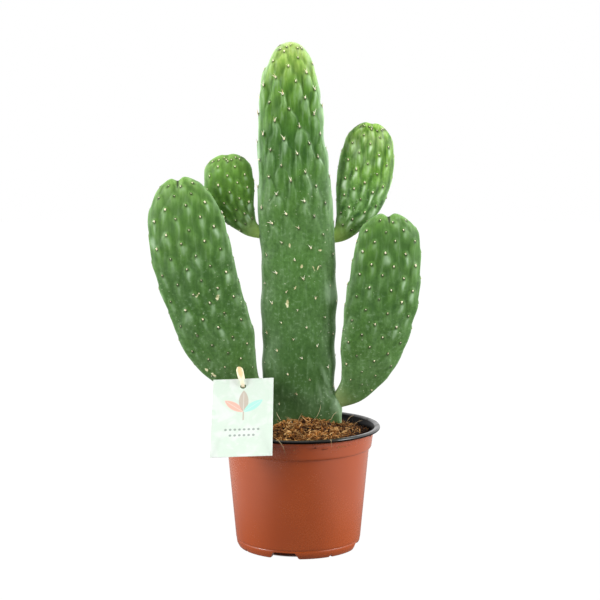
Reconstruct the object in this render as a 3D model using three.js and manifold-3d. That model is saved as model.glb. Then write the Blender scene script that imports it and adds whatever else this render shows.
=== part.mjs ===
import * as THREE from "three";
import { mergeVertices } from "three/addons/utils/BufferGeometryUtils.js";
import Module from "manifold-3d";

// A young paddle cactus in its nursery pot: a flat ribbed trunk with four paddles, potting mix, and a
// card tag on a raffia loop. Millimetres, +Z up, seen from -Y. The pieces are made round the pot's
// axis; at the end the group is shifted so that the middle of its footprint on the floor is the origin.

const wasm = await Module();
wasm.setup();

const TOUCH_GAP = 0.3; // left between pieces that touch
const GOLDEN_TURN = 0.381966; // of the way round, from one areole of a spiral to the next

const POT = {
  rimRadius: 84,
  height: 125,
  wall: 1.2,
  footRadius: 61.9,
  bodyTaper: 0.093, // radius gained per millimetre of height
  collarFrom: 104,
  collarRadius: 75.2,
  collarTaper: 0.13,
  floorHeight: 7,
  segments: 44,
};
const ARCH = { count: 4, firstAzimuth: -13, height: 6.8, widthAtFloor: 31, widthAtTop: 21 };
const NOTCH = { azimuthFromArch: 45, height: 2.8, width: 4.4 };
const DRAIN = { radius: 5, fromAxis: 45, sides: 12 };

const SOIL = {
  level: 117.5,
  moundCentre: [6, -12],
  moundHeight: 18,
  moundWidth: 44,
  moundDepth: 34,
  grain: 1.5,
  columns: 44,
};

// A paddle's spine runs from its neck to its tip. Widths and thicknesses are half sizes at the spine's
// knots, and the last tipLength of it rounds off. Its areoles stand in whorls or in one spiral, counted
// from the tip: number k is k * pitch + k * k * pitchGrowth away from it. One in perSpine bears a spine.
const TRUNK = {
  spine: [
    [0.5, 0, 134], [0.5, 0, 178], [1, 0, 250], [-1, 0, 317],
    [-4, 0, 369], [-8, 0, 438], [-7.4, 0, 515],
  ],
  halfWidths: [43.3, 36.7, 38, 37.5, 36, 31.3, 26.3],
  halfThicknesses: [18.8, 16.5, 16.5, 16.5, 16, 15, 13],
  tipLength: 57,
  turn: 0,
  notch: 0,
  areoles: { inSpiral: true, pitch: 1.85, pitchGrowth: 0.0024, clearOfNeck: 12, perSpine: 2 },
  tubercle: { height: 2.6, halfWidth: 4.8, length: 26, smoothBelow: 175 },
  spineLength: 2.8,
  buriedDepth: 42,
};
const PADDLES = {
  paddle_lower_left: {
    spine: [
      [-34, -2, 154], [-56, -3, 171], [-77, -5, 206],
      [-97, -8, 261], [-109, -11, 308], [-121, -14, 380],
    ],
    halfWidths: [6, 18, 35.8, 39.6, 40.5, 33],
    halfThicknesses: [5, 7.5, 9.5, 10.5, 10.5, 9],
    tipLength: 48,
    turn: -8,
    notch: 4,
    areoles: { count: 7, pitch: 11, pitchGrowth: 0.09, clearOfNeck: 22, perSpine: 3 },
    tubercle: { height: 1.7, halfWidth: 5, length: 21, smoothBelow: 60 },
    spineLength: 1.8,
  },
  paddle_lower_right: {
    spine: [
      [37, -2, 147], [58.2, -5, 166], [72.4, -7, 198],
      [83.4, -9, 246], [90, -11, 300], [90.3, -13, 344],
    ],
    halfWidths: [6, 17.6, 30.2, 36.4, 34, 26],
    halfThicknesses: [5, 7.5, 9.5, 10.5, 10.5, 9],
    tipLength: 24,
    turn: 8,
    notch: 4,
    areoles: { count: 7, pitch: 10.5, pitchGrowth: 0.09, clearOfNeck: 22, perSpine: 3 },
    tubercle: { height: 1.7, halfWidth: 4.8, length: 20, smoothBelow: 50 },
    spineLength: 1.8,
  },
  paddle_upper_left: {
    spine: [[-36, 0, 320], [-52, 3, 331], [-68, 7, 361], [-72, 10, 402]],
    halfWidths: [4.4, 10.8, 24.9, 22],
    halfThicknesses: [4, 6, 7.5, 6.5],
    tipLength: 17,
    turn: -8,
    notch: 1,
    areoles: { count: 6, pitch: 8, pitchGrowth: 0.05, clearOfNeck: 12, perSpine: 3 },
    tubercle: { height: 1, halfWidth: 3.6, length: 15, smoothBelow: 25 },
    spineLength: 1.8,
  },
  paddle_upper_right: {
    spine: [[33.5, 0, 316], [47, 2, 326], [61, 6, 353], [69, 9, 390], [74.5, 11, 434]],
    halfWidths: [5, 11.2, 23.6, 28.1, 20.5],
    halfThicknesses: [4, 6, 7.5, 8, 6.5],
    tipLength: 22,
    turn: 8,
    notch: 1,
    areoles: { count: 6, pitch: 8.5, pitchGrowth: 0.06, clearOfNeck: 12, perSpine: 3 },
    tubercle: { height: 1, halfWidth: 3.8, length: 16, smoothBelow: 30 },
    spineLength: 1.8,
  },
};
const SPINE_ROOT = { radius: 1, sunk: 1 }; // sunk that far below the valleys between the tubercles
const NECK_ROOM = 24; // round a paddle's neck, where its bearer has no spines
const SECTION_ROUNDNESS = 2.2; // the power of the superellipse across a paddle

const TAG = {
  width: 61,
  height: 96,
  thickness: 0.6,
  centre: [-55.4, -56.8, 143.85],
  yaw: -5,
  leanBack: 47.8,
  roll: 3.6,
  holeRadius: 3,
  holeFromTop: 9.6,
};
const LOOP = { widthAtTop: 7, widthAtHole: 3.4, thickness: 0.6, steps: 30 };
// The loop's route in the tag's own plane: right, up from the hole, and out of its face.
const LOOP_ROUTE = [
  [0, -0.6, 0], [-0.3, 0.9, 2], [-1.6, 7.6, 3.8], [-3.2, 15.6, 5], [-4.2, 20.4, 5.2], [-4.6, 22, 3.8],
  [-4.2, 20.6, 2.4], [-3, 15.6, 0.9], [-1.6, 9.6, -1.2], [-0.4, 2.8, -2], [-0.1, 0.2, -1.6],
];

const PAINT = {
  trunk: { color: 0x4f8040, roughness: 0.45 },
  paddle: { color: 0x5a8d3c, roughness: 0.45 },
  pot: { color: 0x9a4a2c, roughness: 0.5 },
  soil: { color: 0x6a4426, roughness: 0.95 },
  tag: { color: 0xe1ffe6, roughness: 0.6 },
  loop: { color: 0xe0c592, roughness: 0.8 },
};

const radians = THREE.MathUtils.degToRad;

// ---- from points to solids and back ----

// The closed skin over rings of equally many points, from a foot point below to a tip point above.
// The rings run anticlockwise as seen from the tip.
function skin(rings, foot, tip) {
  const columns = rings[0].length;
  const points = [foot, ...rings.flat(), tip];
  const at = (row, column) => 1 + row * columns + (column % columns);
  const last = points.length - 1;
  const faces = [];
  for (let column = 0; column < columns; column++) {
    faces.push(0, at(0, column + 1), at(0, column));
    for (let row = 0; row + 1 < rings.length; row++) {
      const a = at(row, column);
      const b = at(row, column + 1);
      const c = at(row + 1, column + 1);
      const d = at(row + 1, column);
      faces.push(a, b, c, a, c, d);
    }
    faces.push(at(rings.length - 1, column), at(rings.length - 1, column + 1), last);
  }
  return geometryOf(points, faces);
}

// The closed skin of a strip that returns to its start: rings of equally many points, in a loop.
function loopSkin(rings) {
  const columns = rings[0].length;
  const at = (row, column) => (row % rings.length) * columns + (column % columns);
  const faces = [];
  for (let row = 0; row < rings.length; row++) {
    for (let column = 0; column < columns; column++) {
      const [a, b] = [at(row, column), at(row, column + 1)];
      const [c, d] = [at(row + 1, column + 1), at(row + 1, column)];
      faces.push(a, b, c, a, c, d);
    }
  }
  return geometryOf(rings.flat(), faces);
}

function geometryOf(points, faces) {
  const geometry = new THREE.BufferGeometry().setFromPoints(points);
  geometry.setIndex(faces);
  return geometry;
}

function toSolid(geometry) {
  let merged = geometry;
  if (geometry.getAttribute("normal")) {
    merged = geometry.clone();
    merged.deleteAttribute("normal");
    merged.deleteAttribute("uv");
    merged = mergeVertices(merged, 1e-4);
  }
  return new wasm.Manifold(
    new wasm.Mesh({
      numProp: 3,
      vertProperties: new Float32Array(merged.attributes.position.array),
      triVerts: new Uint32Array(merged.index.array),
    }),
  );
}

function fromSolid(solid) {
  const { vertProperties, triVerts } = solid.getMesh();
  const geometry = new THREE.BufferGeometry();
  geometry.setAttribute("position", new THREE.BufferAttribute(new Float32Array(vertProperties), 3));
  geometry.setIndex([...triVerts]);
  return geometry;
}

function named(name, geometry, paint) {
  geometry.computeVertexNormals();
  const mesh = new THREE.Mesh(geometry, new THREE.MeshStandardMaterial({ metalness: 0, ...paint }));
  mesh.name = name;
  return mesh;
}

// ---- the cactus ----

// A superellipse's outline at equal steps of its length, starting at +X: [across, deep, perimeter].
function section(halfWidth, halfThickness) {
  const samples = 96;
  const outline = [];
  let length = 0;
  for (let i = 0; i <= samples; i++) {
    const angle = (2 * Math.PI * i) / samples;
    const power = 2 / SECTION_ROUNDNESS;
    const across = halfWidth * Math.sign(Math.cos(angle)) * Math.abs(Math.cos(angle)) ** power;
    const deep = halfThickness * Math.sign(Math.sin(angle)) * Math.abs(Math.sin(angle)) ** power;
    const before = outline.at(-1);
    if (before) length += Math.hypot(across - before.across, deep - before.deep);
    outline.push({ across, deep, length });
  }
  return { outline, perimeter: length };
}

class Paddle {
  constructor(sizes) {
    this.sizes = sizes;
    const points = (rows) => rows.map((row) => new THREE.Vector3(...row));
    this.spine = new THREE.CatmullRomCurve3(points(sizes.spine), false, "catmullrom", 0.5);
    this.spine.arcLengthDivisions = 400;
    const halves = sizes.halfWidths.map((width, i) => [width, sizes.halfThicknesses[i], 0]);
    this.halves = new THREE.CatmullRomCurve3(points(halves), false, "catmullrom", 0.5);
    this.length = this.spine.getLength();
    this.areoles = sizes.areoles.inSpiral ? this.spiral() : this.whorls();
  }

  fromTip(rank) {
    return rank * this.sizes.areoles.pitch + rank * rank * this.sizes.areoles.pitchGrowth;
  }

  lastRank() {
    const { pitch, pitchGrowth } = this.sizes.areoles;
    return (Math.sqrt(pitch * pitch + 4 * pitchGrowth * this.length) - pitch) / (2 * pitchGrowth);
  }

  spiral() {
    const found = [];
    for (let rank = 3; this.fromTip(rank) < this.length - this.sizes.areoles.clearOfNeck; rank++) {
      found.push({ fromTip: this.fromTip(rank), turn: (rank * GOLDEN_TURN) % 1 });
    }
    return found;
  }

  whorls() {
    const { count, clearOfNeck } = this.sizes.areoles;
    const found = [];
    for (let rank = 1; this.fromTip(rank) < this.length - clearOfNeck; rank++) {
      for (let i = 0; i < count; i++) {
        found.push({ fromTip: this.fromTip(rank), turn: (i + (rank % 2) / 2) / count });
      }
    }
    return found;
  }

  // The frame and the section where the spine is that far from its tip.
  cut(fromTip) {
    const along = THREE.MathUtils.clamp(this.length - fromTip, 0, this.length);
    const t = this.spine.getUtoTmapping(0, along);
    const centre = this.spine.getPoint(t);
    const up = this.spine.getTangent(t);
    const across = new THREE.Vector3(0, 1, 0).cross(up).normalize();
    across.applyAxisAngle(up, radians(this.sizes.turn));
    const deep = new THREE.Vector3().crossVectors(up, across);
    const capped = Math.min(fromTip / this.sizes.tipLength, 1);
    const rounding = Math.sqrt(1 - (1 - capped) ** 2);
    const half = this.halves.getPoint(t);
    return { centre, up, across, deep, ...section(half.x * rounding, half.y * rounding) };
  }

  // The point of a cut that far round it, with the cleft that some tips have.
  pointOn(cut, turn) {
    const wanted = (turn - Math.floor(turn)) * cut.perimeter;
    const next = Math.max(1, cut.outline.findIndex((corner) => corner.length >= wanted));
    const [a, b] = [cut.outline[next - 1], cut.outline[next]];
    const share = (wanted - a.length) / Math.max(b.length - a.length, 1e-9);
    const across = THREE.MathUtils.lerp(a.across, b.across, share);
    const deep = THREE.MathUtils.lerp(a.deep, b.deep, share);
    return cut.centre.clone().addScaledVector(cut.across, across).addScaledVector(cut.deep, deep);
  }

  normalAt(fromTip, turn) {
    const step = Math.min(0.5, fromTip / 2);
    const here = this.cut(fromTip);
    const round = this.pointOn(here, turn + 0.01).sub(this.pointOn(here, turn - 0.01));
    const above = this.pointOn(this.cut(fromTip - step), turn);
    const below = this.pointOn(this.cut(fromTip + step), turn);
    return round.cross(above.sub(below)).normalize();
  }

  // A tubercle is a ridge that starts at its areole and fades out down the paddle.
  relief(fromTip, turn, perimeter) {
    const { height, halfWidth, length, smoothBelow } = this.sizes.tubercle;
    let raised = 0;
    for (const areole of this.areoles) {
      const below = fromTip - areole.fromTip;
      if (below < -4 || below > length) continue;
      const apart = turn - areole.turn;
      const aside = (apart - Math.round(apart)) * perimeter;
      const fade = below < 0 ? 1 + below / 4 : (1 - below / length) ** 1.2;
      raised = Math.max(raised, fade * Math.exp(-((aside / halfWidth) ** 2)));
    }
    const fromNeck = this.length - fromTip;
    const grown = THREE.MathUtils.smoothstep(fromNeck, 0.15 * smoothBelow, smoothBelow);
    const young = THREE.MathUtils.smoothstep(fromTip, 0, 10);
    return height * raised * (0.25 + 0.75 * grown) * young * Math.min(1, fromNeck / 15);
  }

  cleft(point, tip) {
    const { across, up } = tip;
    const aside = point.clone().sub(tip.centre).dot(across);
    return up.clone().multiplyScalar(-this.sizes.notch * Math.exp(-((aside / 4) ** 2)));
  }

  // The skin, grown outwards by so much.
  skin(grown = 0) {
    const { areoles, notch } = this.sizes;
    const columns = areoles.inSpiral ? 26 : 4 * areoles.count;
    const rowRanks = areoles.inSpiral ? 13 / 4 : 1 / 2;
    const slip = areoles.inSpiral ? (5 - 13 * GOLDEN_TURN) / 13 : 0; // so that columns follow the areoles
    const ranks = [];
    for (let rank = this.lastRank(); rank > rowRanks; rank -= rowRanks) {
      ranks.push(rank);
    }
    const heights = [...ranks.map((rank) => this.fromTip(rank)), 3, 0.8];
    const tip = this.cut(0);
    const rings = heights.map((fromTip, row) => {
      const cut = this.cut(fromTip);
      const rank = row < ranks.length ? ranks[row] : 0;
      return Array.from({ length: columns }, (_, column) => {
        const turn = column / columns - slip * rank;
        const raised = this.relief(fromTip, turn, cut.perimeter) + grown;
        const point = this.pointOn(cut, turn).addScaledVector(this.normalAt(fromTip, turn), raised);
        if (notch && fromTip < this.sizes.tipLength) {
          const fading = 1 - fromTip / this.sizes.tipLength;
          point.addScaledVector(this.cleft(point, tip), fading ** 2);
        }
        return point;
      });
    });
    const top = tip.centre.clone().addScaledVector(tip.up, grown).add(this.cleft(tip.centre, tip));
    return { rings, foot: this.cut(this.length).centre, top };
  }

  // The places on the skin that bear a spine, clear of the necks of other paddles.
  spinePlaces(necks) {
    const bearing = this.areoles.filter((_, i) => i % this.sizes.areoles.perSpine === 0);
    const places = bearing.map(({ fromTip, turn }) => {
      const cut = this.cut(fromTip);
      const outward = this.normalAt(fromTip, turn);
      const raised = this.relief(fromTip, turn, cut.perimeter);
      return { cut, outward, skinPoint: this.pointOn(cut, turn).addScaledVector(outward, raised) };
    });
    return places.filter((place) => necks.every((neck) => place.skinPoint.distanceTo(neck) > NECK_ROOM));
  }

  // Short three-sided spines, rooted in the flesh.
  spines(necks = []) {
    return this.spinePlaces(necks).map(({ cut, outward, skinPoint }) => {
      const lean = outward.clone().addScaledVector(cut.up, 0.35).normalize();
      const side = new THREE.Vector3().crossVectors(cut.up, lean).normalize();
      const along = new THREE.Vector3().crossVectors(lean, side);
      const root = skinPoint.clone().addScaledVector(lean, -SPINE_ROOT.sunk - this.sizes.tubercle.height);
      const corners = [0, 1, 2].map((i) => {
        const angle = (2 * Math.PI * i) / 3;
        return root
          .clone()
          .addScaledVector(side, SPINE_ROOT.radius * Math.cos(angle))
          .addScaledVector(along, SPINE_ROOT.radius * Math.sin(angle));
      });
      const point = skinPoint.clone().addScaledVector(lean, this.sizes.spineLength);
      return toSolid(geometryOf([...corners, point], [0, 1, 3, 1, 2, 3, 2, 0, 3, 0, 2, 1]));
    });
  }
}

function trunkSkin(trunk, grown = 0) {
  const { rings, top } = trunk.skin(grown);
  const sunk = new THREE.Vector3(0, 0, -TRUNK.buriedDepth);
  const buried = rings[0].map((point) => point.clone().add(sunk));
  const foot = trunk.cut(trunk.length).centre.add(sunk);
  return toSolid(skin([buried, ...rings], foot, top));
}

function buildTrunk(trunk) {
  const necks = Object.values(PADDLES).map((paddle) => new THREE.Vector3(...paddle.spine[0]));
  const fused = wasm.Manifold.union([trunkSkin(trunk), ...trunk.spines(necks)]);
  return named("trunk", fromSolid(fused), PAINT.trunk);
}

// A paddle's neck reaches into the trunk's edge and is cut off at its skin.
function buildPaddle(name, trunkRoom) {
  const paddle = new Paddle(PADDLES[name]);
  const { rings, foot, top } = paddle.skin();
  const body = toSolid(skin(rings, foot, top));
  const fused = wasm.Manifold.union([body, ...paddle.spines()]);
  return named(name, fromSolid(fused.subtract(trunkRoom)), PAINT.paddle);
}

// ---- the pot and what is in it ----

const bodyRadius = (height) => POT.footRadius + 1.3 + POT.bodyTaper * height;
const collarRadiusAt = (height) => POT.collarRadius + POT.collarTaper * (height - POT.collarFrom);

function onAzimuth(degrees, radius, height) {
  const angle = radians(degrees);
  return new THREE.Vector3(radius * Math.sin(angle), -radius * Math.cos(angle), height);
}

function potProfile() {
  const { wall, collarFrom, floorHeight, height, rimRadius, footRadius } = POT;
  const underLip = height - 3.2;
  const collarTop = underLip - 2.2;
  const shoulder = collarFrom + 1.4;
  const outside = [
    [20, floorHeight + 2], [22, floorHeight], [footRadius - 3.6, floorHeight], [footRadius - 3.6, 0],
    [footRadius - 1.4, 0], [footRadius, 1.4], [footRadius + 1.3, 4], [footRadius + 1.8, 8],
    [footRadius + 1.3, 8.6], [bodyRadius(9.6), 9.6],
    [bodyRadius(collarFrom - 1), collarFrom - 1], [collarRadiusAt(collarFrom), collarFrom],
    [collarRadiusAt(collarTop), collarTop], [rimRadius - 1.2, underLip], [rimRadius, underLip + 1.1],
    [rimRadius - 0.4, height - 0.6], [rimRadius - 1.4, height],
  ];
  const inside = [
    [rimRadius - 4.4, height], [collarRadiusAt(collarTop) - wall, collarTop],
    [collarRadiusAt(shoulder) - wall, shoulder], [bodyRadius(collarFrom) - wall, collarFrom],
    [bodyRadius(9) - wall, floorHeight + wall],
    [22.5, floorHeight + wall], [20.5, floorHeight + 2 + wall],
  ];
  return [[0, floorHeight + 2], ...outside, ...inside, [0, floorHeight + 2 + wall]];
}

function archCutter(azimuth) {
  const { height, widthAtFloor, widthAtTop } = ARCH;
  return wedgeCutter(azimuth, height, widthAtFloor, widthAtTop, POT.footRadius - 6, POT.footRadius + 6);
}

function notchCutter(azimuth) {
  return wedgeCutter(azimuth, NOTCH.height, NOTCH.width, 0.8, POT.footRadius - 6, POT.footRadius + 6);
}

// A prism that runs outwards from near the pot's axis, wider at the floor than at its top.
function wedgeCutter(azimuth, height, widthAtFloor, widthAtTop, from, to) {
  const below = 1;
  const outline = new THREE.Shape([
    new THREE.Vector2(-widthAtFloor / 2, -below),
    new THREE.Vector2(widthAtFloor / 2, -below),
    new THREE.Vector2(widthAtTop / 2, height),
    new THREE.Vector2(-widthAtTop / 2, height),
  ]);
  const prism = new THREE.ExtrudeGeometry(outline, { depth: to - from, bevelEnabled: false });
  prism.translate(0, 0, from).rotateX(Math.PI / 2).rotateZ(radians(azimuth));
  return toSolid(prism);
}

function drainCutter(azimuth) {
  const { radius, fromAxis, sides } = DRAIN;
  const bit = new THREE.CylinderGeometry(radius, radius, 10, sides).rotateX(Math.PI / 2);
  const place = onAzimuth(azimuth, fromAxis, POT.floorHeight);
  return toSolid(bit.translate(place.x, place.y, place.z));
}

function buildPot() {
  const profile = potProfile().map(([radius, height]) => new THREE.Vector2(radius, height));
  const shell = toSolid(new THREE.LatheGeometry(profile, POT.segments).rotateX(Math.PI / 2));
  const cutters = [];
  for (let i = 0; i < ARCH.count; i++) {
    const azimuth = ARCH.firstAzimuth + (360 / ARCH.count) * i;
    cutters.push(archCutter(azimuth), notchCutter(azimuth + NOTCH.azimuthFromArch), drainCutter(azimuth));
  }
  return named("pot", fromSolid(shell.subtract(wasm.Manifold.union(cutters))), PAINT.pot);
}

// The mix lies in chunks, level near the wall and heaped against the trunk's front.
function soilHeight(x, y) {
  const [moundX, moundY] = SOIL.moundCentre;
  const heap = Math.exp(-(((x - moundX) / SOIL.moundWidth) ** 2) - ((y - moundY) / SOIL.moundDepth) ** 2);
  const sunkAtWall = 4 * (Math.hypot(x, y) / 75) ** 6;
  const across = Math.sin(0.55 * x + 1.3 * Math.sin(0.31 * y));
  const chunks = across * Math.sin(0.49 * y + 1.7 * Math.sin(0.27 * x));
  return SOIL.level + SOIL.moundHeight * heap - sunkAtWall + SOIL.grain * chunks;
}

function buildSoil() {
  const { wall, collarFrom, floorHeight } = POT;
  const inner = (height) => bodyRadius(height) - wall - TOUCH_GAP;
  const innerCollar = (height) => collarRadiusAt(height) - wall - TOUCH_GAP;
  const floor = floorHeight + wall + TOUCH_GAP;
  const atCollar = collarFrom + 2.6;
  const level = (radius, height) => () => [radius, height];
  const onTop = (radius) => (x, y) => [radius, soilHeight(x * radius, y * radius)];
  const atWall = (x, y) => {
    const height = soilHeight(x * 74, y * 74);
    return [innerCollar(height), height];
  };
  const rows = [
    level(21, floor + 2), level(23.4, floor), level(inner(floor) - 0.4, floor), level(inner(60), 60),
    level(inner(collarFrom) - 0.3, collarFrom + 0.3), level(innerCollar(atCollar) - 0.2, atCollar),
    atWall, ...[69, 62, 54, 46, 38, 30, 21, 11].map(onTop),
  ];
  const rings = rows.map((row) =>
    Array.from({ length: SOIL.columns }, (_, column) => {
      const angle = (2 * Math.PI * column) / SOIL.columns;
      const [x, y] = [Math.cos(angle), Math.sin(angle)];
      const [radius, height] = row(x, y);
      return new THREE.Vector3(x * radius, y * radius, height);
    }),
  );
  const foot = new THREE.Vector3(0, 0, floor + 2);
  const top = new THREE.Vector3(0, 0, soilHeight(0, 0));
  return named("soil", fromSolid(toSolid(skin(rings, foot, top)).subtract(trunkHole())), PAINT.soil);
}

// The plain hole in the mix that the trunk's foot stands in.
function trunkHole() {
  const [x, y, base] = TRUNK.spine[0];
  const { outline } = section(TRUNK.halfWidths[0] + TOUCH_GAP, TRUNK.halfThicknesses[0] + TOUCH_GAP);
  const corners = outline.filter((_, i) => i % 2 === 1);
  const ring = (height) => corners.map((at) => new THREE.Vector3(x + at.across, y + at.deep, height));
  const middle = (height) => new THREE.Vector3(x, y, height);
  const [low, high] = [base - TRUNK.buriedDepth - TOUCH_GAP, base + 40];
  return toSolid(skin([ring(low), ring(high)], middle(low), middle(high)));
}

// ---- the tag ----

function buildTag() {
  const { width, height, thickness, holeRadius, holeFromTop } = TAG;
  const card = new THREE.Shape([
    new THREE.Vector2(-width / 2, -height / 2),
    new THREE.Vector2(width / 2, -height / 2),
    new THREE.Vector2(width / 2, height / 2),
    new THREE.Vector2(-width / 2, height / 2),
  ]);
  card.holes.push(new THREE.Path().absarc(0, height / 2 - holeFromTop, holeRadius, 0, 2 * Math.PI, true));
  const options = { depth: thickness, bevelEnabled: false, curveSegments: 8 };
  const geometry = new THREE.ExtrudeGeometry(card, options).translate(0, 0, -thickness / 2);
  return named("tag_card", geometry, PAINT.tag);
}

// A flat raffia strip, gathered where it goes through the tag's hole and spread at its top.
function buildLoop() {
  const hole = new THREE.Vector3(0, TAG.height / 2 - TAG.holeFromTop, 0);
  const points = LOOP_ROUTE.map((row) => new THREE.Vector3(...row).add(hole));
  const route = new THREE.CatmullRomCurve3(points, true);
  const rings = Array.from({ length: LOOP.steps }, (_, step) => {
    const centre = route.getPointAt(step / LOOP.steps);
    const along = route.getTangentAt(step / LOOP.steps);
    const side = new THREE.Vector3(1, 0, 0).addScaledVector(along, -along.x).normalize();
    const out = new THREE.Vector3().crossVectors(along, side);
    const spread = THREE.MathUtils.smoothstep(centre.y - hole.y, 2, 14);
    const half = THREE.MathUtils.lerp(LOOP.widthAtHole, LOOP.widthAtTop, spread) / 2;
    const corner = ([x, y]) => centre.clone().addScaledVector(side, x * half).addScaledVector(out, y);
    const deep = LOOP.thickness / 2;
    return [[1, 0], [0.7, deep], [-0.7, deep], [-1, 0], [-0.7, -deep], [0.7, -deep]].map(corner);
  });
  return named("tag_loop", loopSkin(rings), PAINT.loop);
}

// The tag leans back from the pot's rim towards the lower left paddle.
function buildTagGroup() {
  const inPlane = new THREE.Group().add(buildTag(), buildLoop());
  inPlane.rotation.z = radians(TAG.roll);
  const leaning = new THREE.Group().add(inPlane);
  leaning.rotation.x = radians(90 - TAG.leanBack);
  const stand = new THREE.Group().add(leaning);
  stand.rotation.z = radians(TAG.yaw);
  stand.position.set(...TAG.centre);
  return stand;
}

const trunk = new Paddle(TRUNK);
const trunkRoom = trunkSkin(trunk, TOUCH_GAP);
const plant = new THREE.Group().add(
  buildTrunk(trunk),
  ...Object.keys(PADDLES).map((name) => buildPaddle(name, trunkRoom)),
);
const cactus = new THREE.Group().add(buildPot(), buildSoil(), plant, buildTagGroup());
cactus.updateMatrixWorld(true);
const box = new THREE.Box3().setFromObject(cactus, true);
cactus.position.set(-(box.min.x + box.max.x) / 2, -(box.min.y + box.max.y) / 2, -box.min.z);

export default cactus;
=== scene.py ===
"""The looks of a young paddle cactus in its nursery pot, with a card tag on a raffia loop.

Sizes are in millimetres and are turned into metres when a mesh is made. Every piece is made round the
pot's axis, which is then placed where the frame has it.
"""

import logging
import math
from collections.abc import Callable, Sequence
from dataclasses import dataclass, replace
from enum import Enum
from typing import Any

import bpy
import numpy as np
from mathutils import Matrix, Vector, noise


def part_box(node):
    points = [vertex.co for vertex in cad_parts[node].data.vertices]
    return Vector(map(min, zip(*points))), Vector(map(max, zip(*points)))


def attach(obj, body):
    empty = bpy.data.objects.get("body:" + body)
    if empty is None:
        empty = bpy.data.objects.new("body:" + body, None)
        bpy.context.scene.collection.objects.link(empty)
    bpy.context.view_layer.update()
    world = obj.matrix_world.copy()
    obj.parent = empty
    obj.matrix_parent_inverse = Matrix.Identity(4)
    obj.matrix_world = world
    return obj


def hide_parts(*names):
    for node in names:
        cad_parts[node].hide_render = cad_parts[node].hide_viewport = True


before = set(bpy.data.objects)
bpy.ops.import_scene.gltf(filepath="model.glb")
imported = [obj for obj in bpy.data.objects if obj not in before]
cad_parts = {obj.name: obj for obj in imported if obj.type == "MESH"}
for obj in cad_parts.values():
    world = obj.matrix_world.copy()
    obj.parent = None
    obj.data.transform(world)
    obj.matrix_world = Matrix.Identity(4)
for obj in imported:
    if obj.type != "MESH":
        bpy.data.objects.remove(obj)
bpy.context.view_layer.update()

log = logging.getLogger("cactus")
MM = 0.001
BODY = "root"
GOLDEN_TURN = 0.381966  # of the way round, from one areole of a spiral to the next
TOUCH_GAP = 0.3  # left between pieces that touch

Point = tuple[float, float, float]
Array = np.ndarray
Piece = bpy.types.Object
Material = bpy.types.Material


def paint(code: str) -> tuple[float, float, float, float]:
    """Turns a colour into linear light.

    Args:
        code: the colour, such as "#4f8040".

    Returns:
        Its red, green, blue and alpha.
    """
    parts = [int(code[i : i + 2], 16) / 255 for i in (1, 3, 5)]
    linear = [p / 12.92 if p <= 0.04045 else ((p + 0.055) / 1.055) ** 2.4 for p in parts]
    return (*linear, 1.0)


def smooth(low: float, high: float, value: Array) -> Array:
    """Rises smoothly from 0 at low to 1 at high."""
    share = np.clip((value - low) / (high - low), 0, 1)
    return share * share * (3 - 2 * share)


def unit(vectors: Array) -> Array:
    """The same directions, at a length of 1."""
    return vectors / np.maximum(np.linalg.norm(vectors, axis=-1, keepdims=True), 1e-9)


def oval(angle: Array, roundness: float) -> list[Array]:
    """The x and the y of an oval with half sizes of 1, which is boxy where its roundness is over 2."""
    return [np.sign(part) * np.abs(part) ** (2 / roundness) for part in (np.cos(angle), np.sin(angle))]


def pot_axis() -> Array:
    """The point on the floor below the pot's axis, in millimetres."""
    low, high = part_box("pot")
    return np.array([(low.x + high.x) / 2 / MM, (low.y + high.y) / 2 / MM, 0.0])


AXIS = pot_axis()


# ---- node trees ----


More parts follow.
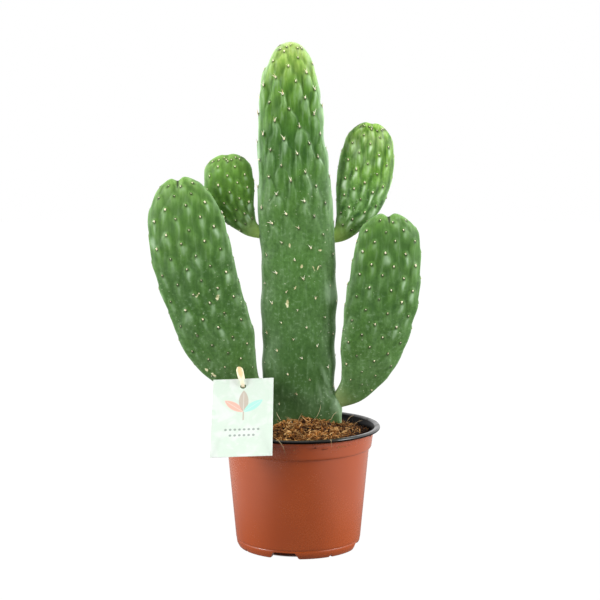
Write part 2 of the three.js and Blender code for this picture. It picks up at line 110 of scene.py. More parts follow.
class Tree:
    """A node tree, with one way to add a node and one to join it."""

    def __init__(self, tree: bpy.types.NodeTree) -> None:
        """Wraps a Blender node tree."""
        self.tree = tree

    def node(self, kind: str, settings: dict | None = None, inputs: dict | None = None) -> bpy.types.Node:
        """Adds a node.

        Args:
            kind: the node's type.
            settings: its own settings, such as an operation, or "stops" for a ramp.
            inputs: values or links by socket name or number.

        Returns:
            The node.
        """
        made = self.tree.nodes.new(kind)
        for key, value in (settings or {}).items():
            if key == "stops":
                self._set_stops(made.color_ramp.elements, value)
            else:
                setattr(made, key, value)
        for key, value in (inputs or {}).items():
            self.join(value, self._socket(made.inputs, key))
        return made

    def join(self, value: Any, socket: bpy.types.NodeSocket) -> None:
        """Links something to a socket, or sets the socket's value.

        Args:
            value: a signal, a socket, a colour such as "#4f8040" or any other plain value.
            socket: the input that takes it.
        """
        if isinstance(value, str) and value.startswith("#"):
            value = paint(value)
        if isinstance(value, Signal):
            value = value.socket
        if isinstance(value, bpy.types.NodeSocket):
            self.tree.links.new(value, socket)
        else:
            socket.default_value = value

    def signal(
        self, kind: str, settings: dict | None = None, inputs: dict | None = None, out: int | str = 0
    ) -> "Signal":
        """Adds a node and returns one of its outputs, by number or name, ready for maths."""
        made = self.node(kind, settings, inputs)
        return Signal(self, self._socket(made.outputs, out))

    def vector(self, operation: str, first: Any, second: Any) -> "Signal":
        """Adds a Vector Math node."""
        return self.signal("ShaderNodeVectorMath", {"operation": operation}, {0: first, 1: second})

    def scaled(self, vector: "Signal", factor: Any) -> "Signal":
        """A vector times a number."""
        return self.signal("ShaderNodeVectorMath", {"operation": "SCALE"}, {0: vector, "Scale": factor})

    def xyz(self, vector: "Signal") -> list["Signal"]:
        """The three numbers of a vector."""
        parts = self.node("ShaderNodeSeparateXYZ", None, {"Vector": vector})
        return [Signal(self, parts.outputs[key]) for key in "XYZ"]

    @staticmethod
    def _socket(sockets: Any, key: int | str) -> bpy.types.NodeSocket:
        """The socket with that number, or the first one in use with that name."""
        named = (socket for socket in sockets if socket.name == key and socket.enabled)
        return sockets[key] if isinstance(key, int) else next(named)

    @staticmethod
    def _set_stops(elements: Any, stops: Sequence[tuple[float, str]]) -> None:
        """Gives a ramp its stops.

        Args:
            elements: the ramp's own stops.
            stops: the place, from 0 to 1, and the colour of each.
        """
        while len(elements) < len(stops):
            elements.new(0.5)
        for element, (place, colour) in zip(elements, stops):
            element.position = place
            element.color = paint(colour)


def maths(operation: str, swapped: bool = False) -> Callable[["Signal", Any], "Signal"]:
    """Makes an operator of Signal.

    Args:
        operation: what its Math node does.
        swapped: whether the signal is the node's second input.

    Returns:
        The operator.
    """

    def operator(signal: "Signal", other: Any = 0.0) -> "Signal":
        """Adds the Math node."""
        first, second = (other, signal) if swapped else (signal, other)
        return signal.tree.signal("ShaderNodeMath", {"operation": operation}, {0: first, 1: second})

    return operator


class Signal:
    """A socket that takes part in Python expressions. Each operator adds its Math node."""

    def __init__(self, tree: Tree, socket: bpy.types.NodeSocket) -> None:
        """Wraps an output socket."""
        self.tree = tree
        self.socket = socket

    __add__ = __radd__ = maths("ADD")
    __sub__ = maths("SUBTRACT")
    __rsub__ = maths("SUBTRACT", swapped=True)
    __mul__ = __rmul__ = maths("MULTIPLY")
    __truediv__ = maths("DIVIDE")
    __pow__ = maths("POWER")
    below = maths("LESS_THAN")  # 1 where the signal is less than the other value, or else 0
    away = maths("ABSOLUTE")  # its size without its sign

    def smooth(self, low: float, high: float) -> "Signal":
        """Rises smoothly from 0 at low to 1 at high; a low above high makes it fall.

        Args:
            low: where it is 0.
            high: where it is 1.

        Returns:
            The result, which stays at 0 or 1 outside the two.
        """
        if low > high:
            return 1 - self.smooth(high, low)
        inputs = {"Value": self, "From Min": low, "From Max": high}
        return self.tree.signal("ShaderNodeMapRange", {"interpolation_type": "SMOOTHSTEP"}, inputs)


class Shader(Tree):
    """The node tree of one material, round a Principled shader."""

    def __init__(self, name: str, **constants: float) -> None:
        """Starts a material.

        Args:
            name: the material's name.
            constants: values of the shader's own sockets that are the same all over the surface.
        """
        self.material = bpy.data.materials.new(name)
        self.material.use_nodes = True
        super().__init__(self.material.node_tree)
        self.principled = next(n for n in self.tree.nodes if n.type == "BSDF_PRINCIPLED")
        for key, value in constants.items():
            self.principled.inputs[key.replace("_", " ").title().replace("Ior", "IOR")].default_value = value
        self.place = self.signal("ShaderNodeTexCoord", out="Object")

    def attribute(self, name: str) -> Signal:
        """A number stored on the mesh."""
        return self.signal("ShaderNodeAttribute", {"attribute_name": name}, out="Fac")

    def noise(
        self, scale: float, detail: float = 3.0, place: Signal | None = None, bent: float = 0.0,
        out: int | str = 0,
    ) -> Signal:
        """Soft noise, whose scale is in features per metre, and whose "Color" is three numbers."""
        inputs = {"Vector": place or self.place, "Scale": scale, "Detail": detail, "Distortion": bent}
        return self.signal("ShaderNodeTexNoise", None, inputs, out)

    def cells(self, scale: float, place: Signal) -> Signal:
        """The distance to the middle of the nearest of many scattered points."""
        return self.signal("ShaderNodeTexVoronoi", None, {"Vector": place, "Scale": scale}, "Distance")

    def stretched(self, x: float, y: float, z: float) -> Signal:
        """The place with each axis scaled."""
        return self.vector("MULTIPLY", self.place, (x, y, z))

    def off_axis(self) -> tuple[Signal, Signal]:
        """How far a place is to the right of the pot's axis, and how far from it in all, in metres."""
        x, y = (part - offset * MM for part, offset in zip(self.xyz(self.place), AXIS[:2]))
        return x, (x * x + y * y) ** 0.5

    def mix(self, share: Any, first: Any, second: Any, blend: str = "MIX") -> Signal:
        """Mixes two colours."""
        settings = {"data_type": "RGBA", "blend_type": blend}
        return self.signal("ShaderNodeMix", settings, {"Factor": share, "A": first, "B": second}, "Result")

    def ramp(self, value: Signal, stops: Sequence[tuple[float, str]]) -> Signal:
        """A colour ramp."""
        return self.signal("ShaderNodeValToRGB", {"stops": stops}, {"Fac": value})

    def bump(self, height: Signal, depth: float, strength: float = 1.0) -> None:
        """Bumps the surface.

        Args:
            height: from 0 to 1.
            depth: the depth of height 1, in millimetres.
            strength: how much of it shows.
        """
        inputs = {"Height": height, "Distance": depth * MM, "Strength": strength}
        made = self.node("ShaderNodeBump", None, inputs)
        self.tree.links.new(made.outputs["Normal"], self.principled.inputs["Normal"])

    def finish(self, colour: Signal, roughness: Signal | float) -> Material:
        """Joins the last two signals.

        Args:
            colour: the surface's colour.
            roughness: its roughness.

        Returns:
            The material.
        """
        self.join(colour, self.principled.inputs["Base Color"])
        self.join(roughness, self.principled.inputs["Roughness"])
        return self.material


class Recipe(Tree):
    """A geometry node tree with named inputs, whose result is turned into a plain mesh."""

    def __init__(self, name: str, inputs: dict[str, float | int]) -> None:
        """Starts a tree.

        Args:
            name: the tree's name.
            inputs: its named inputs and what they are if nothing is given.
        """
        super().__init__(bpy.data.node_groups.new(name, "GeometryNodeTree"))
        face = self.tree.interface
        face.new_socket("Geometry", in_out="INPUT", socket_type="NodeSocketGeometry")
        face.new_socket("Geometry", in_out="OUTPUT", socket_type="NodeSocketGeometry")
        for key, value in inputs.items():
            kind = "NodeSocketInt" if isinstance(value, int) else "NodeSocketFloat"
            face.new_socket(key, in_out="INPUT", socket_type=kind).default_value = value
        self.source = self.node("NodeGroupInput")
        self.result = self.node("NodeGroupOutput")

    def given(self, name: str) -> Signal:
        """One of the tree's named inputs."""
        return Signal(self, self.source.outputs[name])

    def named(self, name: str, kind: str = "FLOAT") -> Signal:
        """An attribute of the geometry."""
        settings = {"data_type": kind}
        return self.signal("GeometryNodeInputNamedAttribute", settings, {"Name": name}, out="Attribute")

    def chance(self, low: Any, high: Any, seed: Any) -> Signal:
        """A random number for each element, or a random vector where low is one."""
        kind = {"data_type": "FLOAT_VECTOR" if isinstance(low, tuple) else "FLOAT"}
        return self.signal("FunctionNodeRandomValue", kind, {"Min": low, "Max": high, "Seed": seed}, "Value")

    def moved(self, shape: Signal, offset: Signal) -> Signal:
        """Moves the points of a shape."""
        return self.signal("GeometryNodeSetPosition", None, {"Geometry": shape, "Offset": offset})

    def shaken(self, shape: Signal, amount: float, scale: float, seed: float) -> Signal:
        """Moves a shape's points by noise, so that it's irregular.

        Args:
            shape: the shape.
            amount: how far apart two points can be moved, in metres.
            scale: how fine the noise is, in features per metre.
            seed: which noise it is.

        Returns:
            The shape after it.
        """
        place = self.signal("GeometryNodeInputPosition")
        inputs = {"Vector": place, "W": seed, "Scale": scale, "Detail": 1.0}
        cloud = self.signal("ShaderNodeTexNoise", {"noise_dimensions": "4D"}, inputs, out="Color")
        centred = self.vector("SUBTRACT", cloud, (0.5, 0.5, 0.5))
        return self.moved(shape, self.scaled(centred, amount))

    def scattered(self) -> Signal:
        """Points scattered over the loose faces.

        Returns:
            The points.
        """
        density = self.given("Density") * self.named("loose")
        inputs = {"Mesh": self.given("Geometry"), "Density": density, "Seed": self.given("Seed")}
        settings = {"distribute_method": "RANDOM"}
        return self.signal("GeometryNodeDistributePointsOnFaces", settings, inputs, out="Points")

    def choice(self, shapes: Sequence[Signal]) -> Signal:
        """Makes instances to pick from.

        Args:
            shapes: the shapes.

        Returns:
            The instances, one a shape.
        """
        chooser = self.node("GeometryNodeJoinGeometry")
        for shape in shapes:
            made = self.signal("GeometryNodeGeometryToInstance", None, {"Geometry": shape})
            self.join(made, chooser.inputs["Geometry"])
        return Signal(self, chooser.outputs[0])

    def facing(self) -> Signal:
        """The turn that stands an instance on the skin: Z outwards, and Y up the stem.

        Returns:
            The turn.
        """
        out, up = (self.named(name, "FLOAT_VECTOR") for name in ("outward", "upward"))
        kind = "FunctionNodeAlignRotationToVector"
        first = self.signal(kind, {"axis": "Z"}, {"Vector": out})
        return self.signal(kind, {"axis": "Y", "pivot_axis": "Z"}, {"Rotation": first, "Vector": up})

    def plant(
        self, points: Signal, shape: Signal, turn: Signal, size: Signal, finish: Material, seed: int,
        pick: bool = False,
    ) -> None:
        """Puts a shape on each point, with a tint of its own, as real faces, and ends the tree.

        Args:
            points: where the shapes go.
            shape: the shape, or the instances to pick from.
            turn: how each is turned.
            size: how much each is scaled.
            finish: their material.
            seed: the seed of the tints.
            pick: whether there are several shapes to pick from.
        """
        inputs = {"Points": points, "Instance": shape, "Pick Instance": pick, "Rotation": turn, "Scale": size}
        made = self.signal("GeometryNodeInstanceOnPoints", None, inputs)
        settings = {"data_type": "FLOAT", "domain": "INSTANCE"}
        inputs = {"Geometry": made, "Name": "tint", "Value": self.chance(0.0, 1.0, seed)}
        made = self.signal("GeometryNodeStoreNamedAttribute", settings, inputs)
        made = self.signal("GeometryNodeRealizeInstances", None, {"Geometry": made})
        made = self.signal("GeometryNodeSetShadeSmooth", None, {"Geometry": made})
        made = self.signal("GeometryNodeSetMaterial", None, {"Geometry": made, "Material": finish})
        self.join(made, self.result.inputs["Geometry"])

    def grow(self, base: Piece, name: str, values: dict[str, float | int]) -> Piece:
        """Runs the tree on an object and keeps the result as a piece of its own.

        Args:
            base: the object with the points or faces to start from.
            name: the new piece's name.
            values: the tree's inputs by name.

        Returns:
            The new piece.
        """
        modifier = base.modifiers.new(self.tree.name, "NODES")
        modifier.node_group = self.tree
        for item in self.tree.interface.items_tree:
            if item.in_out == "INPUT" and item.name in values:
                modifier[item.identifier] = values[item.name]
        mesh = mesh_after_modifiers(base)
        base.modifiers.remove(modifier)
        return link(bpy.data.objects.new(name, mesh))


# ---- meshes ----


def link(made: Piece) -> Piece:
    """Adds an object to the scene."""
    bpy.context.scene.collection.objects.link(made)
    return made


def mesh_after_modifiers(piece: Piece) -> bpy.types.Mesh:
    """A new mesh, of what a piece's modifiers make of it."""
    bpy.context.view_layer.update()
    return bpy.data.meshes.new_from_object(piece.evaluated_get(bpy.context.evaluated_depsgraph_get()))


def make_object(name: str, points: Array, faces: Sequence, materials: Sequence = ()) -> Piece:
    """Makes a mesh object.

    Args:
        name: its name.
        points: its points round the pot's axis, in millimetres.
        faces: each face's point numbers.
        materials: what the faces are made of.

    Returns:
        The object.
    """
    mesh = bpy.data.meshes.new(name)
    placed = (np.asarray(points, float).reshape(-1, 3) + AXIS) * MM
    mesh.from_pydata(placed.tolist(), [], [list(map(int, face)) for face in faces])
    for material in materials:
        mesh.materials.append(material)
    if len(mesh.polygons):
        mesh.shade_smooth()
    mesh.update()
    return link(bpy.data.objects.new(name, mesh))


def store(piece: Piece, name: str, values: Array) -> None:
    """Stores a number or a vector for each point of a mesh.

    Args:
        piece: the object with the mesh.
        name: the attribute's name.
        values: what each point has of it.
    """
    kind, key = ("FLOAT_VECTOR", "vector") if values.ndim == 2 else ("FLOAT", "value")
    attribute = piece.data.attributes.new(name, kind, "POINT")
    attribute.data.foreach_set(key, values.astype(np.float32).ravel())


def grid_faces(rows: int, columns: int, through: bool = False) -> list[tuple[int, ...]]:
    """The faces of rings of points, which face out where the rings go up and the points anticlockwise.

    Args:
        rows: how many rings.
        columns: how many points in a ring.
        through: whether the last ring joins the first.

    Returns:
        Four point numbers a face.
    """
    row = np.arange(rows if through else rows - 1)[:, None]
    column = np.arange(columns)[None, :]
    here, above, beside = row * columns, (row + 1) % rows * columns, (column + 1) % columns
    corners = [here + column, here + beside, above + beside, above + column]
    return [tuple(face) for face in np.stack([part.ravel() for part in corners], axis=1)]


def fan(first: int, count: int, middle: int, up: bool) -> list[tuple[int, int, int]]:
    """The triangles that close a ring of points with one in its middle."""
    pairs = [(first + i, first + (i + 1) % count) for i in range(count)]
    return [(a, b, middle) if up else (b, a, middle) for a, b in pairs]


def closed_skin(name: str, rings: Array, ends: Sequence, materials: Sequence) -> Piece:
    """Makes a closed mesh from rings of points, bottom ring first, each anticlockwise seen from above.

    Args:
        name: the piece's name.
        rings: the points by ring and column.
        ends: the points in the middle of the first ring and of the last.
        materials: what its faces are made of.

    Returns:
        The piece, whose last two points are the ends.
    """
    rows, columns = rings.shape[:2]
    count = rows * columns
    faces = grid_faces(rows, columns) + fan(0, columns, count, up=False)
    faces += fan(count - columns, columns, count + 1, up=True)
    return make_object(name, np.vstack([rings.reshape(-1, 3), *ends]), faces, materials)


def capped_tubes(name: str, tubes: Sequence[Array], materials: Sequence = ()) -> Piece:
    """Makes one mesh of several tubes of the same size, each closed by a face at either end.

    Args:
        name: the piece's name.
        tubes: the points of each by ring and column.
        materials: what the faces are made of.

    Returns:
        The piece.
    """
    rows, sides = tubes[0].shape[:2]
    caps = [tuple(range(sides))[::-1], tuple(range((rows - 1) * sides, rows * sides))]
    firsts = range(0, len(tubes) * rows * sides, rows * sides)
    one = grid_faces(rows, sides) + caps
    faces = [tuple(corner + first for corner in face) for first in firsts for face in one]
    return make_object(name, np.vstack([tube.reshape(-1, 3) for tube in tubes]), faces, materials)


def lay_uv(piece: Piece, name: str, places: Array) -> None:
    """Gives a piece a UV map.

    Args:
        piece: the piece.
        name: the map's name.
        places: where each point is on the map.
    """
    corners = np.zeros(len(piece.data.loops), np.int32)
    piece.data.loops.foreach_get("vertex_index", corners)
    layer = piece.data.uv_layers.new(name=name)
    layer.data.foreach_set("uv", places[corners].astype(np.float32).ravel())


def ride(piece: Piece, slot: str, *nodes: str) -> None:
    """Makes a piece part of the plant.

    Args:
        piece: the piece.
        slot: its material slot, which is not used.
        nodes: the CAD nodes that it stands for.
    """
    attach(piece, BODY)
    if nodes:
        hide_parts(*nodes)
    log.info("%s: %d faces", piece.name, len(piece.data.polygons))


# ---- finishes ----


@dataclass(frozen=True)
class Flesh:
    """The glaucous skin of a stem segment, with painted shade and highlight on its relief. Its body colours
    run from the young tip to the old neck.
    """

    name: str
    body: Sequence[tuple[float, str]]
    wax_and_highlight: str = "#bcdcb4"
    # dark green of the painted shade in valleys and creases, and of the dark speckles
    shade_and_speckle: str = "#1d4416"
    # dark of the areoles' rims, of the painted shade in their pits and of the painted shade in the tip's fold
    eye: str = "#1d1c12"
    scar: str = "#c3bf8c"
    # paler neck colour, partly its own yellow-green and partly painted light where the trunk shades the neck
    neck: str = "#b2d566"
    fresh: str = "#6c9a3e"
    streaks: float = 0.35
    fresh_share: float = 0.35
    valley_shade_share: float = 0.42

    def material(self) -> Material:
        """Builds the skin's material from the numbers stored on it.

        Returns:
            The material.
        """
        s = Shader(self.name, coat_roughness=0.35, specular_ior_level=0.2)
        mottle, speckle = s.noise(38, 5), s.noise(300, 4)
        streak = s.noise(1.0, 4, s.stretched(260, 260, 40))
        ridge, crease_shade, wax_and_highlight = s.attribute("ridge"), s.attribute("crease_shade"), s.attribute("wax_and_highlight")
        age = s.attribute("age") + 0.12 * (mottle - 0.5)
        old = age.smooth(0.15, 0.6)
        body = s.ramp(age, self.body)
        body = s.mix(mottle.smooth(0.54, 0.38) * self.fresh_share * (1 - old), body, self.fresh)
        shown = self.streaks * (1 - 0.65 * old)
        body = s.mix(streak.smooth(0.56, 0.36) * shown * 0.9, body, "#aac793", "MULTIPLY")
        body = s.mix(streak.smooth(0.52, 0.7) * shown * 0.32, body, self.wax_and_highlight)
        body = s.mix(mottle.smooth(0.42, 0.68) * old * 0.14, body, "#7f9c74")
        # painted shade in the valleys between the tubercles
        body = s.mix((1 - ridge).smooth(0.2, 1.0) * self.valley_shade_share, body, self.shade_and_speckle)
        # painted shade beside the tubercles' edges
        body = s.mix(crease_shade * 0.55, body, self.shade_and_speckle)
        body = s.mix(speckle.smooth(0.5, 0.36) * (0.1 + 0.2 * old), body, self.shade_and_speckle)
        body = s.mix(speckle.smooth(0.56, 0.7) * old * 0.14, body, self.wax_and_highlight)
        # pale glaucous patches, partly painted highlight
        body = s.mix((wax_and_highlight * (0.35 + 0.9 * streak)).smooth(0.05, 0.9), body, self.wax_and_highlight)
        # paler neck, partly its own yellow-green and partly painted light where the trunk shades it
        body = s.mix(s.attribute("neck") * 0.8, body, self.neck)
        bent = s.vector("ADD", s.place, s.scaled(s.noise(500, 2, out="Color"), 3 * MM))
        flecks = s.cells(190, bent).smooth(0.17, 0.1) * s.noise(45, 2).smooth(0.5, 0.64) * old
        body = s.mix(flecks * 0.7, body, "#cfdcb4")
        mark = (s.attribute("mark") + 1.6 * (speckle - 0.5)).smooth(0.4, 0.7)
        scar = s.mix(speckle.smooth(0.45, 0.6), self.scar, "#e8e6ba")
        body = s.mix(mark, body, scar)
        # dark round each areole, partly its own rim and partly painted shade in its pit, and painted shade in
        # the tip's fold
        body = s.mix(s.attribute("eye") * 0.92, body, self.eye)
        s.join((0.02 + 0.13 * ridge) * (1 - mark), s.principled.inputs["Coat Weight"])
        s.bump(0.35 * speckle + 0.45 * streak + 0.4 * flecks, 0.3)
        gloss = 0.46 + 0.2 * mottle - 0.1 * speckle + 0.12 * wax_and_highlight + 0.25 * mark
        return s.finish(body, gloss)


@dataclass(frozen=True)
class Felt:
    """The woolly cushion of an areole."""

    young: str = "#fff6cf"
    old: str = "#e8ddac"
    dark: str = "#4d3520"
    dark_share: float = 0.1

    def material(self) -> Material:
        """Builds the felt's material.

        Returns:
            The material.
        """
        s = Shader("areole felt", sheen_weight=0.3)
        grain = s.noise(2600, 3)
        tint, age = s.attribute("tint"), s.attribute("age")
        body = s.mix((age + 0.5 * (tint - 0.5)).smooth(0.1, 0.8), self.young, self.old)
        middle = 1 - self.dark_share
        share = (tint * 0.8 + grain * 0.4).smooth(middle - 0.1, middle + 0.2)
        body = s.mix(share, body, self.dark)
        s.bump(grain, 0.15)
        return s.finish(body, 0.85 + 0.1 * grain)


@dataclass(frozen=True)
class SpineHorn:
    """The horn of a spine, ivory or tan, with a dark foot."""

    light: str = "#fffbe4"
    tan: str = "#d8bd80"
    foot: str = "#6e5a36"

    def material(self) -> Material:
        """Builds the spine's material.

        Returns:
            The material.
        """
        s = Shader("spine horn")
        tint = s.attribute("tint")
        grain = s.noise(1800, 2)
        body = s.mix((tint + 0.4 * grain).smooth(0.75, 1.3), self.light, self.tan)
        body = s.mix(s.attribute("along").smooth(0.16, 0.04), body, self.foot)
        return s.finish(body, 0.4 + 0.2 * grain)


@dataclass(frozen=True)
class PotPlastic:
    """Terracotta-coloured plastic sheet, drawn into shape, so that it has faint rings and a soft gloss."""

    body: str = "#a2420b"
    worn: str = "#b35417"
    dirt: str = "#5d3a26"
    haze: str = "#f0c890"

    def material(self) -> Material:
        """Builds the plastic's material.

        Returns:
            The material.
        """
        s = Shader("pot plastic", specular_ior_level=0.85, sheen_weight=0.05)
        s.join(self.haze, s.principled.inputs["Sheen Tint"])
        cloud = s.noise(16, 4)
        rings = s.noise(1.0, 3, s.stretched(6, 6, 420))
        grain = s.noise(900, 2)
        body = s.mix(cloud.smooth(0.35, 0.75) * 0.3, self.body, self.worn)
        body = s.mix(rings.smooth(0.55, 0.8) * 0.12, body, self.worn)
        dust = s.attribute("dust") * s.noise(120, 4).smooth(0.5, 0.75)
        body = s.mix(dust * 0.4, body, self.dirt)
        s.bump(rings, 0.02)
        return s.finish(body, 0.2 + 0.08 * cloud + 0.05 * grain + 0.25 * dust)


@dataclass(frozen=True)
class PotLining:
    """The black inner layer of the sheet, which also shows on the rolled lip."""

    body: str = "#080809"
    dust: str = "#3f352a"

    def material(self) -> Material:
        """Builds the lining's material.

        Returns:
            The material.
        """
        s = Shader("pot lining", specular_ior_level=0.03, coat_roughness=0.28)
        lip = s.xyz(s.place)[2].smooth(123.2 * MM, 124 * MM)
        grain = s.noise(700, 3)
        dust = s.noise(90, 5).smooth(0.52, 0.75) * s.attribute("dust")
        body = s.mix(dust * 0.5, self.body, self.dust)
        s.join(lip * (1 - dust), s.principled.inputs["Coat Weight"])
        s.bump(grain, 0.04)
        return s.finish(body, 0.25 + 0.1 * grain + 0.3 * dust)


@dataclass(frozen=True)
class PottingMix:
    """Damp peat and coir."""

    name: str
    dark: str
    middle: str
    light: str
    tinted: bool = True

    def material(self) -> Material:
        """Builds the mix's material.

        Returns:
            The material.
        """
        s = Shader(self.name, specular_ior_level=0.25)
        grain = s.noise(1100, 4)
        clump = s.noise(240, 4)
        x, away = s.off_axis()
        # darker near the pot's wall and to the right of the trunk
        darker_at_rim_and_right = 0.17 * away.smooth(60 * MM, 74 * MM) + 0.12 * x.smooth(28 * MM, 50 * MM)
        value = 0.35 * grain + 0.3 * clump + 1.5 * (s.noise(38, 3) - 0.5) - darker_at_rim_and_right
        value = value + 0.55 * s.attribute("tint") if self.tinted else value * 1.2
        stops = [(0.22, self.dark), (0.55, self.middle), (0.9, self.light)]
        body = s.ramp(value, stops)
        s.bump(grain, 0.35)
        return s.finish(body, 0.8 + 0.15 * grain)


@dataclass(frozen=True)
class CardPrint:
    """Pale mint card with a soft cloudy print, a sprig of three leaves and a row of dots."""

    mint: str = "#cad8cb"
    pale: str = "#dadeda"
    edge: str = "#f4f6ee"
    coral: str = "#f3a795"
    taupe: str = "#b9a99a"
    aqua: str = "#9fe6d2"
    grey: str = "#7b8880"

    @staticmethod
    def turned(x: Signal, y: Signal, foot: tuple[float, float], lean: float) -> tuple[Signal, Signal]:
        """Places on the card, seen from a leaf.

        Args:
            x: millimetres to the right of the card's middle.
            y: millimetres above it.
            foot: where the leaf's foot is.
            lean: how far the leaf leans to the right, in degrees.

        Returns:
            How far they are across the leaf, and along it.
        """
        angle = math.radians(lean)
        aside, above = x - foot[0], y - foot[1]
        across = aside * math.cos(angle) - above * math.sin(angle)
        return across, aside * math.sin(angle) + above * math.cos(angle)

    @staticmethod
    def leaf(across: Signal, along: Signal, length: float) -> Signal:
        """A leaf, where two circles overlap.

        Args:
            across: how far places are across it.
            along: how far they are along it.
            length: how long it is.

        Returns:
            1 on the leaf.
        """
        offset = 0.62 * length
        radius = math.hypot(length / 2, offset)
        middle = along - length / 2
        reach = ((across.away() + offset) ** 2 + middle * middle) ** 0.5
        return reach.smooth(radius + 0.1, radius - 0.1)

    @staticmethod
    def dots(x: Signal, y: Signal, height: float, count: int) -> Signal:
        """A row of dots, centred on the card.

        Args:
            x: millimetres to the right of the card's middle.
            y: millimetres above it.
            height: the row's y.
            count: how many dots.

        Returns:
            1 on the dots.
        """
        step, size = 4.6, 1.35
        total: Signal | float = 0.0
        for i in range(count):
            aside = x - (i - (count - 1) / 2) * step
            apart = (aside * aside + (y - height) * (y - height)) ** 0.5
            total = apart.smooth(size + 0.08, size - 0.08) + total
        return total

    def material(self) -> Material:
        """Builds the print's material.

        Returns:
            The material.
        """
        s = Shader("tag card", specular_ior_level=0.4)
        uv = s.signal("ShaderNodeUVMap", {"uv_map": "card"})
        x, y, _ = s.xyz(uv)
        cloud = s.noise(0.045, 3, uv, bent=1.2)
        wash = s.noise(0.13, 4, uv, bent=0.5)
        body = s.mix(cloud.smooth(0.42, 0.62) * 0.75, self.mint, self.pale)
        body = s.mix(wash.smooth(0.5, 0.8) * 0.5, body, self.pale)
        front = s.attribute("front")
        foot = (1.0, 6.0)
        leaves = [(self.coral, -52.0, 24.0), (self.taupe, 0.0, 27.0), (self.aqua, 52.0, 24.0)]
        for code, lean, length in leaves:
            across, along = self.turned(x, y, foot, lean)
            body = s.mix(self.leaf(across, along, length) * front * 0.85, body, code)
            rib = self.leaf(across, along, length * 0.9) * across.away().smooth(0.4, 0.2)
            body = s.mix(rib * front * 0.6, body, self.pale)
        stem = (x - foot[0]).away().smooth(0.75, 0.5) * y.smooth(-4.2, -3.8) * y.smooth(6.6, 6.2)
        body = s.mix(stem * front * 0.85, body, self.taupe)
        row = self.dots(x, y, -15.5, 8) + self.dots(x, y, -22.5, 6)
        body = s.mix(row * front * 0.75, body, self.grey)
        body = s.mix(s.attribute("rim"), body, self.edge)
        fibre = s.noise(700, 3)
        s.bump(fibre, 0.02)
        return s.finish(body, 0.5 + 0.12 * fibre)


@dataclass(frozen=True)
class Raffia:
    """A split palm strip: cream along its edges and tan in its trough, partly its own colours and partly
    painted highlight on the edges and painted shade in the trough.
    """

    light: str = "#fff2d6"
    dark: str = "#e6c898"

    def material(self) -> Material:
        """Builds the strip's material.

        Returns:
            The material.
        """
        s = Shader("raffia", specular_ior_level=0.35)
        grain = s.noise(0.9, 4, s.signal("ShaderNodeUVMap", {"uv_map": "strip"}))
        # tan in the cupped trough, partly the strip's colour and partly painted shade
        hollow_tan_and_shade = (s.attribute("hollow_tan_and_shade") * 1.1 + (grain - 0.5) * 0.7).smooth(0.15, 0.95)
        body = s.mix(hollow_tan_and_shade, self.light, self.dark)
        s.bump(grain, 0.12)
        return s.finish(body, 0.6 + 0.2 * grain)


# ---- the cactus ----


class Pattern(Enum):
    """How the areoles of a stem segment are arranged."""

    SPIRAL = "one golden spiral"
    WHORLS = "staggered whorls"


@dataclass(frozen=True)
class Areoles:
    """The places that bear spines: number k from the tip is k * pitch + k * k * growth away from it."""

    pattern: Pattern
    pitch: float
    growth: float
    clear_of_neck: float
    count: int = 1


@dataclass(frozen=True)
class Tubercle:
    """The rise that starts at an areole and fades out below it. A keeled one has two edges, like a tent."""

    height: float
    half_width: float
    length: float
    smooth_below: float
    crest: float = 1.35
    # cap sets the pale patch below each areole, partly painted highlight, and the painted shade beside it;
    # pit sets the dark pits, partly painted shade
    cap: float = 0.5
    pit: float = 0.75
    crown: float = 0.4
    crown_ranks: float = 2.5
    keeled: bool = False
    smooth_share: float = 0.15


@dataclass
class Areole:
    """One areole: its place, strength, glaucous sheen with painted highlight, and size, which way its spines
    lean, and how its edges spread.
    """

    from_tip: float
    turn: float
    strength: float
    sheen: float
    swing: float
    size: float
    right: float
    left: float


@dataclass(frozen=True)
class Patch:
    """A spot on the front of a segment: its place, half sizes, lean, height, and share of cork and of pale
    glaucous colour with painted highlight.
    """

    x: float
    z: float
    half_width: float
    half_length: float
    lean: float = 0.0
    height: float = 0.25
    cork: float = 1.0
    wax_and_highlight: float = 0.0

    def at(self, points: Array) -> Array:
        """Works out how much of the spot each point has.

        Args:
            points: the points.

        Returns:
            The shares, from 0 to 1.
        """
        lean = math.radians(self.lean)
        x, z = points[..., 0] - self.x, points[..., 2] - self.z
        across = (x * math.cos(lean) - z * math.sin(lean)) / self.half_width
        along = (x * math.sin(lean) + z * math.cos(lean)) / self.half_length
        return np.exp(-((across**2 + along**2) ** 1.5)) * (points[..., 1] < 2)


